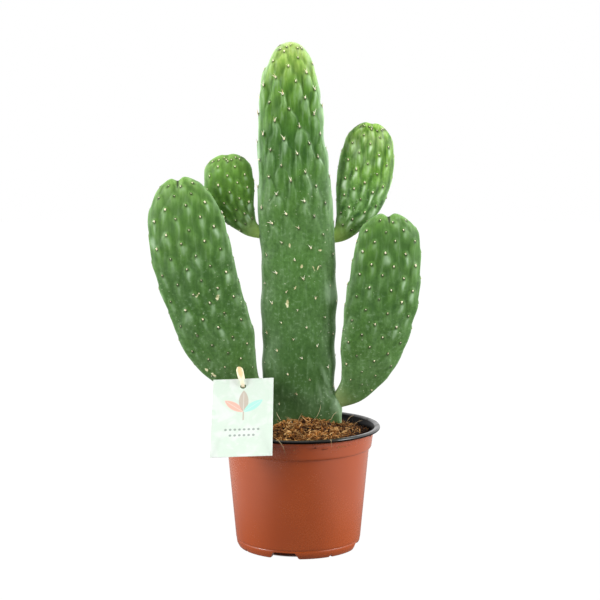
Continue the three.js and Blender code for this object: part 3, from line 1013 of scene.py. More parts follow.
@dataclass
class KnotCurve:
    """A smooth curve through knots, an equal share apart. A pull of 0.5 keeps it taut at close knots."""

    knots: Sequence[Sequence[float]]
    pull: float = 0.0
    closed: bool = False

    def at(self, share: Array) -> Array:
        """Finds places on the curve.

        Args:
            share: the shares of the way.

        Returns:
            The points there.
        """
        knots = np.array(self.knots, float)
        before, beyond = [2 * knots[0] - knots[1]], [2 * knots[-1] - knots[-2]]
        if self.closed:
            before, beyond, share = knots[-1:], knots[:2], share % 1
        padded = np.vstack([before, knots, beyond])
        spans = len(padded) - 3
        place = np.clip(share, 0, 1) * spans
        index = np.minimum(place.astype(int), spans - 1)
        w = (place - index)[:, None]
        a, b, c, d = (padded[index + k] for k in range(4))
        gaps = (np.linalg.norm(q - p, axis=1, keepdims=True) for p, q in ((a, b), (b, c), (c, d)))
        one, two, three = (gap**self.pull for gap in gaps)
        first = ((b - a) / one - (c - a) / (one + two) + (c - b) / two) * two
        last = ((c - b) / two - (d - b) / (two + three) + (d - c) / three) * two
        square, cube = -3 * b + 3 * c - 2 * first - last, 2 * b - 2 * c + first + last
        return b + first * w + square * w**2 + cube * w**3

    def heading(self, share: Array, step: float) -> Array:
        """The curve's directions, each from a point a step behind to one a step ahead."""
        return unit(self.at(share + step) - self.at(share - step))


@dataclass
class Growth:
    """What is worked out at each point of a skin grid."""

    raised: Array
    # glaucous colour with painted highlight, painted shade beside the tubercles, and pits with painted shade
    wax_and_highlight: Array
    crease_shade: Array
    eye: Array

    def lay(self, name: str, rows: Array, values: Array) -> None:
        """Raises one of the four to at least these values in some rows."""
        held = getattr(self, name)
        held[rows] = np.maximum(held[rows], values)


@dataclass
class Segment:
    """A flat stem segment, from its neck to its tip."""

    name: str
    spine: Sequence[Point]
    half_widths: Sequence[float]
    half_thicknesses: Sequence[float]
    tip_length: float
    areoles: Areoles
    tubercle: Tubercle
    flesh: Flesh
    turn: float = 0.0
    notch: float = 0.0
    reach: float = 2.0
    cushion: float = 0.88
    buds: int = 0
    fold_width: float = 4.5
    wander: float = 1.3
    # how much paler the neck is, partly painted light where the trunk shades it
    neck_light_and_tint: float = 0.0
    # share and width of the painted rim highlight along the two edges
    rim_highlight: float = 0.32
    rim_highlight_width: float = 5.0
    unevenness: float = 0.6
    patches: Sequence[Patch] = ()
    buried_depth: float = 0.0
    seed: int = 1
    columns: int = 150
    row_step: float = 1.25
    roundness: float = 2.2
    spine_steps: int = 401
    outline_steps: int = 721
    clear_of_necks: float = 15.0
    bare_below: float = 138.0

    def __post_init__(self) -> None:
        """Works out the spine's length and the places of the areoles."""
        self.spine_curve = KnotCurve(self.spine)
        self.halves_curve = KnotCurve(list(zip(self.half_widths, self.half_thicknesses)))
        self.shares = np.linspace(0, 1, self.spine_steps)
        points = self.spine_curve.at(self.shares)
        steps = np.linalg.norm(np.diff(points, axis=0), axis=1)
        self.lengths = np.concatenate([[0.0], np.cumsum(steps)])
        self.length = float(self.lengths[-1])
        self.places = self._areole_places()

    def _areole_places(self) -> list[Areole]:
        """Places the areoles by their pattern, and the buds that crowd the tip.

        Returns:
            The areoles, tip first, and then the buds.
        """
        found: list[Areole] = []
        draw = np.random.default_rng(self.seed)
        rank = 1
        while (from_tip := self.from_tip(rank)) < self.length - self.areoles.clear_of_neck:
            if self.areoles.pattern is Pattern.SPIRAL:
                turns = [rank * GOLDEN_TURN % 1]
            else:
                turns = [(i + rank % 2 / 2) / self.areoles.count for i in range(self.areoles.count)]
            size = 1 - self.tubercle.crown * float(smooth(45, 5, np.array(from_tip)))
            for turn in turns:
                shift, swing, strength, sheen, lean, right, left = draw.uniform(-1, 1, 7)
                place = from_tip + self.wander * size * shift
                turned = turn + 0.005 * self.wander * swing
                kind = (size * (1 + 0.4 * strength), 0.5 + 0.5 * sheen, 0.45 + 0.6 * lean, size)
                found.append(Areole(place, turned, *kind, right=0.34 + 0.14 * right, left=0.23 + 0.1 * left))
            rank += 1
        for i in range(self.buds):
            deep, turn = draw.uniform(0, 1, 2)
            place = 2 + 7 * deep
            found.append(Areole(place, i / self.buds + 0.03 * turn, 0.55, 0.4 * deep, 0.45, 0.3, 0.4, 0.4))
        return found

    def from_tip(self, rank: float) -> float:
        """How far from the tip an areole of that rank is; they crowd near the tip of a crowned segment."""
        crowded = 1 - self.tubercle.crown * math.exp(-rank / self.tubercle.crown_ranks)
        return rank * self.areoles.pitch * crowded + rank * rank * self.areoles.growth

    def bare(self, from_tip: Array, turns: Array) -> tuple[Array, Array]:
        """Works out the skin without its ridges.

        Args:
            from_tip: distances from the tip, one a row.
            turns: shares of the way round, a row of them for each distance.

        Returns:
            The points, and each row's length round.
        """
        along = np.clip(self.length - from_tip, 0, self.length)
        share = np.interp(along, self.lengths, self.shares)
        up = self.spine_curve.heading(share, 1e-4)
        level = unit(np.cross((0.0, 1.0, 0.0), up))
        turned = math.radians(self.turn)
        across = level * math.cos(turned) + np.cross(up, level) * math.sin(turned)
        deep = np.cross(up, across)
        rounding = np.sqrt(1 - (1 - np.minimum(from_tip / self.tip_length, 1)) ** 2)
        halves = self.halves_curve.at(share) * rounding[:, None]
        shape = oval(np.linspace(0, 2 * math.pi, self.outline_steps), self.roundness)
        outline_x, outline_y = halves[:, :1] * shape[0], halves[:, 1:] * shape[1]
        steps = np.hypot(np.diff(outline_x, axis=1), np.diff(outline_y, axis=1))
        lengths = np.concatenate([np.zeros((len(steps), 1)), np.cumsum(steps, axis=1)], axis=1)
        wanted = (turns % 1) * lengths[:, -1:]
        x, y = (
            np.stack([np.interp(*row) for row in zip(wanted, lengths, outline)])
            for outline in (outline_x, outline_y)
        )
        centre = self.spine_curve.at(share)
        points = centre[:, None] + x[..., None] * across[:, None] + y[..., None] * deep[:, None]
        return points, lengths[:, -1]

    def outward(self, from_tip: Array, turns: Array) -> Array:
        """Works out the directions out of the bare skin.

        Args:
            from_tip: distances from the tip, one a row.
            turns: shares of the way round.

        Returns:
            A direction for each point.
        """
        step = np.minimum(0.5, from_tip / 2)
        around = self.bare(from_tip, turns + 0.004)[0] - self.bare(from_tip, turns - 0.004)[0]
        up = self.bare(from_tip - step, turns)[0] - self.bare(from_tip + step, turns)[0]
        return unit(np.cross(around, up))

    def growth(self, from_tip: Array, turns: Array, perimeter: Array) -> Growth:
        """Works out what all the areoles near a point give it.

        Args:
            from_tip: distances from the tip, one a row.
            turns: shares of the way round.
            perimeter: each row's length round.

        Returns:
            How far each point stands out, and how much glaucous colour, painted highlight and painted shade
            it has.
        """
        shape = self.tubercle
        grown = Growth(*(np.zeros(turns.shape) for _ in range(4)))
        bend = self.bend(from_tip, turns)
        for areole in self.places:
            length = 1.15 * shape.length * areole.size
            below = from_tip - areole.from_tip
            rows = np.flatnonzero((below > -5) & (below < length))
            if not len(rows):
                continue
            down = below[rows, None]
            apart = turns[rows] - areole.turn
            aside = (apart - np.round(apart)) * perimeter[rows, None]
            aside = aside + bend[rows] * np.clip(down / 9, 0, 1)
            share = np.clip(down, 0, None) / length
            if shape.keeled:
                self._keel(grown, areole, rows, down, aside, share)
            else:
                width = shape.half_width * (0.8 + 1.45 * np.sqrt(share))
                flank = np.clip(1 - (np.abs(aside) / width) ** shape.crest, 0, 1)
                bulge = smooth(-4.5, 0.0, down) * (1 - share) ** 1.1 * flank
                grown.lay("raised", rows, bulge * (0.6 + 0.4 * areole.strength))
            # a pale glaucous patch just below each areole, a little to its right, partly painted highlight
            run = areole.strength * smooth(0.5, 4, down) * smooth(0.75, 0.25, share)
            cap = np.exp(-(((aside - 0.8) / (0.55 * shape.half_width)) ** 2))
            grown.lay("wax_and_highlight", rows, shape.cap * (0.3 + 0.7 * areole.sheen) * run * cap)
            # painted shade along the left side of each tubercle
            shade = np.exp(-(((aside + shape.half_width) / 2.2) ** 2))
            grown.lay("crease_shade", rows, shape.cap * run * shade)
            # the pit below each areole, dented and darkened: partly the areole's dark rim, partly painted
            # shade
            pit = np.exp(-((aside / 1.7) ** 2) - ((down - 0.9) / 1.6) ** 2)
            grown.lay("eye", rows, shape.pit * pit)
        return grown

    def bend(self, from_tip: Array, turns: Array) -> Array:
        """Works out how far the tubercles' outlines stray to the side.

        Args:
            from_tip: distances from the tip, one a row.
            turns: shares of the way round.

        Returns:
            Millimetres at each point.
        """
        angle = 2 * math.pi * turns
        x, y = 2.6 * np.cos(angle), 2.6 * np.sin(angle)
        z = np.broadcast_to((0.06 * from_tip + self.seed)[:, None], turns.shape)
        found = [noise.noise(Vector(place)) for place in zip(x.ravel(), y.ravel(), z.ravel())]
        return 5.0 * np.array(found).reshape(turns.shape)

    @staticmethod
    def _keel(
        grown: Growth, areole: Areole, rows: Array, down: Array, aside: Array, share: Array
    ) -> None:
        """Adds a tent-shaped tubercle, whose edges spread from its areole, with painted shade just outside
        them and a painted highlight just inside them, brighter on the right.

        Args:
            grown: what has been worked out so far.
            areole: the tubercle's areole.
            rows: the rows near it.
            down: each row's distance below it.
            aside: each point's distance to its right.
            share: each row's share of the tubercle's length.
        """
        spread = np.where(aside > 0, areole.right, areole.left)
        width = (1.9 + spread * np.clip(down, 0, None)) * (1 - 0.35 * share)
        beyond = np.abs(aside) - width
        domed = 0.6 + 0.4 * np.clip(1 - (aside / width) ** 2, 0, 1)
        height = smooth(-3.5, 0.5, down) * (1 - share) ** 0.9 * (0.3 + 0.7 * areole.strength)
        grown.lay("raised", rows, height * domed * smooth(2.2, -2.0, beyond))
        # painted shade just outside each edge, wider on the left
        clear = np.clip(0.2 + 0.9 * areole.sheen, 0, 1)
        fading = clear * smooth(0.5, 4, down) * smooth(0.7, 0.15, share)
        near = np.where(aside > 0, 1.1, 1.9)
        grown.lay("crease_shade", rows, fading * np.exp(-(((beyond - near) / near) ** 2)))
        # painted highlight just inside each edge, three times as strong on the right
        painted_highlight = np.where(aside > 0, 0.75, 0.25) * areole.sheen**2 * smooth(0.5, 3, down) * smooth(13, 4, down)
        grown.lay("wax_and_highlight", rows, painted_highlight * np.exp(-(((beyond + 1.1) / 1.3) ** 2)))

    def firmness(self, from_tip: Array) -> Array:
        """Works out how strongly the ridges show.

        Args:
            from_tip: distances from the tip.

        Returns:
            A share from 0 to 1 for each.
        """
        from_neck = self.length - from_tip
        below = self.tubercle.smooth_below
        grown = 0.14 + 0.86 * smooth(self.tubercle.smooth_share * below, below, from_neck)
        return grown * smooth(0, 10, from_tip) * np.clip(from_neck / 15, 0, 1)

    def cleft(self, points: Array, from_tip: Array) -> tuple[Array, Array]:
        """The fold at the top, where the segment stopped growing.

        Args:
            points: the skin's points.
            from_tip: each row's distance from the tip.

        Returns:
            How far each point moves, and how much painted shade it has in the fold, from 0 to 1.
        """
        ends = self.bare(np.array([1e-3, 2.0]), np.array([[0.0, 0.5]] * 2))[0]
        middle = ends[0].mean(axis=0)
        up = unit(middle - ends[1].mean(axis=0))
        across = unit(ends[1][0] - ends[1][1])
        aside = (points - middle) @ across
        fading = np.clip(1 - from_tip / self.tip_length, 0, 1)[:, None] ** 2
        fold = np.exp(-((aside / self.fold_width) ** 2)) * fading
        # painted shade along the middle of the fold, fading out between 5 and 14 mm below the tip
        thin = 1.2 * smooth(14, 2, from_tip)[:, None] + 0.2
        shade = np.exp(-((aside / thin) ** 2)) * smooth(14, 5, from_tip)[:, None]
        return -self.notch * fold[..., None] * up, shade * min(1.0, self.notch / self.fold_width)

    def margin(self, turns: Array, perimeter: Array) -> Array:
        """A painted rim highlight along the two edges of a flat segment."""
        apart = (turns * 2 + 0.5) % 1 - 0.5
        return self.rim_highlight * np.exp(-((apart / 2 * perimeter[:, None] / self.rim_highlight_width) ** 2))

    def rows(self) -> Array:
        """Spaces the skin's rings evenly along its outline.

        Returns:
            Their distances from the tip, neck first.
        """
        body = np.arange(self.length, self.tip_length, -self.row_step)
        count = int(self.tip_length * 1.5 / self.row_step)
        cap = self.tip_length * (1 - np.cos(np.linspace(math.pi / 2, 0.02, count)))
        return np.concatenate([body[body > self.tip_length + 0.5], cap])

    def waves(self, points: Array, from_tip: Array) -> Array:
        """Works out a slow unevenness of the flesh, which fades out at the neck and the tip.

        Args:
            points: the skin's points.
            from_tip: each row's distance from the tip.

        Returns:
            Millimetres at each point.
        """
        flat = points.reshape(-1, 3)
        found = [noise.noise(Vector(p) * 0.045 + Vector((self.seed * 7.3, 0, 0))) for p in flat]
        shown = smooth(0, 10, from_tip) * smooth(0, 30, self.length - from_tip)
        return self.unevenness * shown[:, None] * np.array(found).reshape(points.shape[:-1])

    def skin(self) -> Piece:
        """Builds the skin, with the numbers that its finish reads.

        Returns:
            The skin.
        """
        from_tip = self.rows()
        turns = np.tile(np.arange(self.columns) / self.columns, (len(from_tip), 1))
        points, perimeter = self.bare(from_tip, turns)
        grown = self.growth(from_tip, turns, perimeter)
        firm = self.firmness(from_tip)[:, None]
        height = (self.tubercle.height * grown.raised - 0.5 * grown.eye) * firm + self.waves(points, from_tip)
        # painted rim highlight along the edges, raised further where patches add pale glaucous colour and
        # painted highlight
        corky, wax_and_rim_light = np.zeros(turns.shape), self.margin(turns, perimeter)
        for patch in self.patches:
            found = patch.at(points)
            height = height + patch.height * found
            corky = np.maximum(corky, patch.cork * found)
            wax_and_rim_light = np.maximum(wax_and_rim_light, patch.wax_and_highlight * found)
        moved, fold = self.cleft(points, from_tip)
        points = points + self.outward(from_tip, turns) * height[..., None] + moved
        top = self.bare(np.array([1e-4]), turns[:1])[0][0].mean(axis=0)
        top = top + self.cleft(points[-1:], np.array([0.0]))[0][0].mean(axis=0)
        if self.buried_depth:
            points = np.concatenate([points[:1] - (0, 0, self.buried_depth), points])
        ends = [points[0].mean(axis=0), top]
        piece = closed_skin(self.name + "_skin", points, ends, [self.flesh.material()])
        # the creases and pits carry painted shade, the pale patches painted highlight, and the neck partly
        # painted light
        values = {
            "age": from_tip[:, None] / self.length + 0 * turns,
            "ridge": np.clip(grown.raised * 1.3, 0, 1) * firm + (1 - firm),
            "wax_and_highlight": np.maximum(grown.wax_and_highlight * firm, wax_and_rim_light),
            "crease_shade": grown.crease_shade * firm * (1 - grown.wax_and_highlight),
            "eye": np.maximum(grown.eye * np.clip(firm * 2, 0, 1), fold),
            "mark": corky,
            "neck": self.neck_light_and_tint * np.exp(-(((self.length - from_tip) / 14) ** 2))[:, None] + 0 * turns,
        }
        for key, value in values.items():
            if self.buried_depth:
                value = np.concatenate([value[:1], value])
            store(piece, key, np.append(value.ravel(), [value[0, 0], value[-1].mean()]))
        return piece

    def areole_points(self, necks: Sequence[Point]) -> Piece:
        """Marks the areoles that have felt and spines.

        Args:
            necks: where paddles grow from this segment, which has none just there.

        Returns:
            A point for each, with the directions out of the skin and up the stem.
        """
        from_tip = np.array([areole.from_tip for areole in self.places])
        turns = np.array([[areole.turn] for areole in self.places])
        points, perimeter = self.bare(from_tip, turns)
        normal = self.outward(from_tip, turns)
        firm = self.firmness(from_tip)[:, None]
        height = self.tubercle.height * self.growth(from_tip, turns, perimeter).raised * firm
        height = height + self.waves(points, from_tip) - 0.3 * firm
        placed = (points + normal * height[..., None] + self.cleft(points, from_tip)[0])[:, 0]
        kept = placed[:, 2] > self.bare_below
        for neck in necks:
            kept &= np.linalg.norm(placed - neck, axis=1) > self.clear_of_necks
        age = from_tip / self.length
        made = make_object(self.name + "_areole_points", placed[kept], [])
        values = {
            "outward": normal[:, 0],
            "upward": self.bare(np.maximum(from_tip - 1, 1e-3), turns)[0][:, 0] - points[:, 0],
            "strength": np.array([areole.strength for areole in self.places]) * (1 - 0.42 * age),
            "swing": np.array([areole.swing for areole in self.places]),
            "age": age,
            "room": np.clip(from_tip / 40, 0.3, 1),
        }
        for key, value in values.items():
            store(made, key, value[kept])
        return made


def felt_recipe(material: Material) -> Recipe:
    """Makes the tree that puts a felt cushion on each areole.

    Args:
        material: the felt's.

    Returns:
        The tree.
    """
    r = Recipe("areole felt", {"Radius": 1.0 * MM, "Flatness": 0.62, "Seed": 3})
    inputs = {"Segments": 8, "Rings": 6, "Radius": r.given("Radius")}
    ball = r.signal("GeometryNodeMeshUVSphere", None, inputs, out="Mesh")
    lumpy = r.shaken(ball, 0.9 * MM, 900, 2.0)
    shape = r.signal("ShaderNodeCombineXYZ", None, {"X": 1.0, "Y": 1.35, "Z": r.given("Flatness")})
    size = r.scaled(shape, r.named("strength") * r.chance(0.8, 1.2, r.given("Seed")))
    r.plant(r.given("Geometry"), lumpy, r.facing(), size, material, seed=11)
    return r


def horn_recipe(material: Material) -> Recipe:
    """Makes the tree that puts short spines on each areole, splayed upwards.

    Args:
        material: the spines'.

    Returns:
        The tree.
    """
    r = Recipe("spine horns", {"Length": 3.0 * MM, "Radius": 0.28 * MM, "Count": 2, "Splay": 0.5, "Seed": 5})
    inputs = {"Geometry": r.given("Geometry"), "Amount": r.given("Count")}
    many = r.node("GeometryNodeDuplicateElements", {"domain": "POINT"}, inputs)
    inputs = {"Vertices": 5, "Side Segments": 3, "Radius Top": 0.03 * MM}
    inputs |= {"Radius Bottom": r.given("Radius"), "Depth": r.given("Length")}
    cone = r.signal("GeometryNodeMeshCone", {"fill_type": "NGON"}, inputs, out="Mesh")
    height = r.xyz(r.signal("GeometryNodeInputPosition"))[2]
    inputs = {"Geometry": cone, "Name": "along", "Value": height / r.given("Length")}
    horn = r.signal("GeometryNodeStoreNamedAttribute", {"data_type": "FLOAT", "domain": "POINT"}, inputs)
    side = Signal(r, many.outputs["Duplicate Index"]).below(0.5) * 2 - 1
    splay = r.given("Splay") * side * r.chance(0.5, 1.3, r.given("Seed"))
    inputs = {"X": r.chance(-1.45, -1.1, 17), "Y": 0.0, "Z": splay + r.named("swing")}
    euler = r.signal("ShaderNodeCombineXYZ", None, inputs)
    splayed = r.signal("FunctionNodeEulerToRotation", None, {"Euler": euler})
    inputs = {"Rotation": r.facing(), "Rotate By": splayed}
    turned = r.signal("FunctionNodeRotateRotation", {"rotation_space": "LOCAL"}, inputs)
    size = r.named("strength") * r.named("room") * r.chance(0.5, 1.15, 23)
    r.plant(Signal(r, many.outputs["Geometry"]), horn, turned, size, material, seed=29)
    return r


@dataclass
class Cactus:
    """The trunk and its four paddles."""

    horn_radius: float = 0.5

    def segments(self) -> list[Segment]:
        """Says what the five stem segments are like.

        Returns:
            The trunk and its paddles.
        """
        spiral, whorls = Pattern.SPIRAL, Pattern.WHORLS
        trunk_flesh = Flesh(
            "trunk skin",
            streaks=0.65, valley_shade_share=0.3,
            body=[
                (0.0, "#d3e886"), (0.05, "#a6c95e"), (0.13, "#6a983a"), (0.25, "#4b7a2b"),
                (0.42, "#537c3a"), (0.62, "#527b3b"), (0.8, "#456a32"), (1.0, "#385826"),
            ],
        )
        low_flesh = Flesh(
            "lower paddle skin",
            neck="#d2ec9c", streaks=0.5,
            body=[(0.0, "#86b05c"), (0.12, "#689446"), (0.4, "#527c37"), (1.0, "#466a30")],
        )
        low_right_flesh = replace(
            low_flesh,
            name="lower right paddle skin",
            body=[(0.0, "#76a052"), (0.12, "#5d883f"), (0.4, "#527c37"), (1.0, "#4d7136")],
        )
        left_flesh = Flesh(
            "upper left paddle skin",
            body=[(0.0, "#8cb95a"), (0.25, "#76a942"), (0.6, "#6b9c3a"), (1.0, "#93b87a")],
        )
        right_flesh = Flesh(
            "upper right paddle skin",
            wax_and_highlight="#d8f0cc", fresh="#7db028", fresh_share=0.9, streaks=1.1, valley_shade_share=0.56,
            body=[(0.0, "#c4e28c"), (0.3, "#89b85a"), (0.6, "#6f9f4d"), (1.0, "#648e48")],
        )
        trunk = Segment(
            name="trunk",
            spine=[
                (0.5, 0, 134), (0.5, 0, 178), (1, 0, 250), (-1, 0, 317),
                (-4, 0, 369), (-8, 0, 438), (-7.4, 0, 515),
            ],
            half_widths=[43.3, 36.7, 38, 37.5, 36, 31.3, 26.3],
            half_thicknesses=[18.8, 16.5, 16.5, 16.5, 16, 15, 13],
            tip_length=57, notch=1.6, fold_width=11, buds=12,
            areoles=Areoles(spiral, pitch=1.85, growth=0.0024, clear_of_neck=12),
            tubercle=Tubercle(
                height=2.2, half_width=4.8, length=29, smooth_below=290, smooth_share=0.42, cap=0.55, pit=1.0,
                crown=0.45, crown_ranks=9, keeled=True,
            ),
            flesh=trunk_flesh, reach=4.8, cushion=0.85, wander=2.3, rim_highlight=0.6, rim_highlight_width=8,
            unevenness=2,
            # some patches add only pale glaucous colour with painted highlight, such as the broad one at the
            # right edge
            patches=[
                Patch(-10.9, 252.5, 1.6, 4.8, 4), Patch(-8.5, 311, 1.2, 2.4), Patch(15.4, 288, 1, 3.4, -24),
                Patch(19.6, 288, 1, 3.4, 22), Patch(3.5, 290, 1.8, 2.6, 30), Patch(22, 306, 1.6, 1.2),
                Patch(-3, 268, 1, 3, 24), Patch(40, 145, 10, 11, 0, 2.8, 0, 0.35),
                Patch(37, 162, 7, 6, 0, -1.3, 0), Patch(27, 176, 2.6, 17, -24, 1.1, 0, 0.38),
                Patch(20, 160, 3, 15, -10, 0.9, 0, 0.15), Patch(31, 166, 3, 12, -20, -1.0, 0),
                Patch(34, 262, 8, 14, 0, 0.0, 0, 0.5),
            ],
            buried_depth=42, columns=208, row_step=1.15,
        )
        lower_left = Segment(
            name="paddle_lower_left",
            spine=[
                (-34, -2, 154), (-56, -3, 171), (-77, -5, 206),
                (-97, -8, 261), (-109, -11, 308), (-121, -14, 380),
            ],
            half_widths=[6, 18, 35.8, 39.6, 40.5, 33],
            half_thicknesses=[5, 7.5, 9.5, 10.5, 10.5, 9],
            tip_length=48, turn=-8, notch=4.5, neck_light_and_tint=0.6, unevenness=1.2, cushion=0.78,
            areoles=Areoles(whorls, pitch=11, growth=0.09, clear_of_neck=22, count=7),
            tubercle=Tubercle(height=1.5, half_width=5, length=22, smooth_below=130, cap=0.68, pit=1.0),
            flesh=low_flesh,
            patches=[
                Patch(-81, 259, 2.0, 4.2, 10, cork=0.8), Patch(-86, 178, 3, 1.8, 35, cork=0.8),
                Patch(-93, 183, 2.4, 1.6, 50, cork=0.8), Patch(-146, 313, 3.5, 7, -5, 0.3, 0.3, 0.6),
                Patch(-101, 262, 2.4, 3.6, 20, 0.2, 0.7),
            ],
            seed=2,
        )
        lower_right = Segment(
            name="paddle_lower_right",
            spine=[
                (37, -2, 147), (58.2, -5, 166), (72.4, -7, 198),
                (83.4, -9, 246), (90, -11, 300), (90.3, -13, 344),
            ],
            half_widths=[6, 17.6, 30.2, 36.4, 34, 26],
            half_thicknesses=[5, 7.5, 9.5, 10.5, 10.5, 9],
            tip_length=24, turn=8, notch=4.5, neck_light_and_tint=0.7,
            areoles=Areoles(whorls, pitch=10.5, growth=0.09, clear_of_neck=22, count=7),
            tubercle=Tubercle(height=1.5, half_width=4.8, length=21, smooth_below=130, cap=0.68, pit=1.0),
            flesh=low_right_flesh, unevenness=1.6, cushion=0.78, seed=3,
        )
        upper_left = Segment(
            name="paddle_upper_left",
            spine=[(-36, 0, 320), (-52, 3, 331), (-68, 7, 361), (-72, 10, 402)],
            half_widths=[4.4, 10.8, 24.9, 22],
            half_thicknesses=[4, 6, 7.5, 6.5],
            tip_length=17, turn=-8, notch=1.5, cushion=0.9, buds=16,
            areoles=Areoles(whorls, pitch=8, growth=0.05, clear_of_neck=12, count=6),
            tubercle=Tubercle(height=0.9, half_width=3.4, length=17, smooth_below=25, cap=0.8, pit=0.85),
            flesh=left_flesh, neck_light_and_tint=1.0, seed=4, columns=120, row_step=1.1,
        )
        upper_right = Segment(
            name="paddle_upper_right",
            spine=[(33.5, 0, 316), (47, 2, 326), (61, 6, 353), (69, 9, 390), (74.5, 11, 434)],
            half_widths=[5, 11.2, 23.6, 28.1, 20.5],
            half_thicknesses=[4, 6, 7.5, 8, 6.5],
            tip_length=22, turn=8, notch=2, cushion=0.75, buds=16,
            areoles=Areoles(whorls, pitch=8.5, growth=0.06, clear_of_neck=12, count=6),
            tubercle=Tubercle(height=0.9, half_width=3.6, length=22, smooth_below=30, cap=1.1, pit=1.0),
            flesh=right_flesh, neck_light_and_tint=1.0, seed=5, columns=130, row_step=1.1,
        )
        return [trunk, lower_left, lower_right, upper_left, upper_right]

    def build(self) -> None:
        """Builds the skins, and the felt and spines of their areoles."""
        felt = felt_recipe(Felt().material())
        horn = horn_recipe(SpineHorn().material())
        trunk, *paddles = self.segments()
        for segment in (trunk, *paddles):
            ride(segment.skin(), "trunk_skin" if segment is trunk else "paddle_skin", segment.name)
            base = segment.areole_points([paddle.spine[0] for paddle in paddles] if segment is trunk else ())
            values = {"Radius": segment.cushion * MM, "Seed": segment.seed}
            ride(felt.grow(base, segment.name + "_felt", values), "areole_felt")
            values = {"Length": segment.reach * MM, "Radius": self.horn_radius * MM, "Seed": segment.seed}
            ride(horn.grow(base, segment.name + "_spines", values), "spine_horn")
            bpy.data.objects.remove(base)


# ---- the pot and what is in it ----


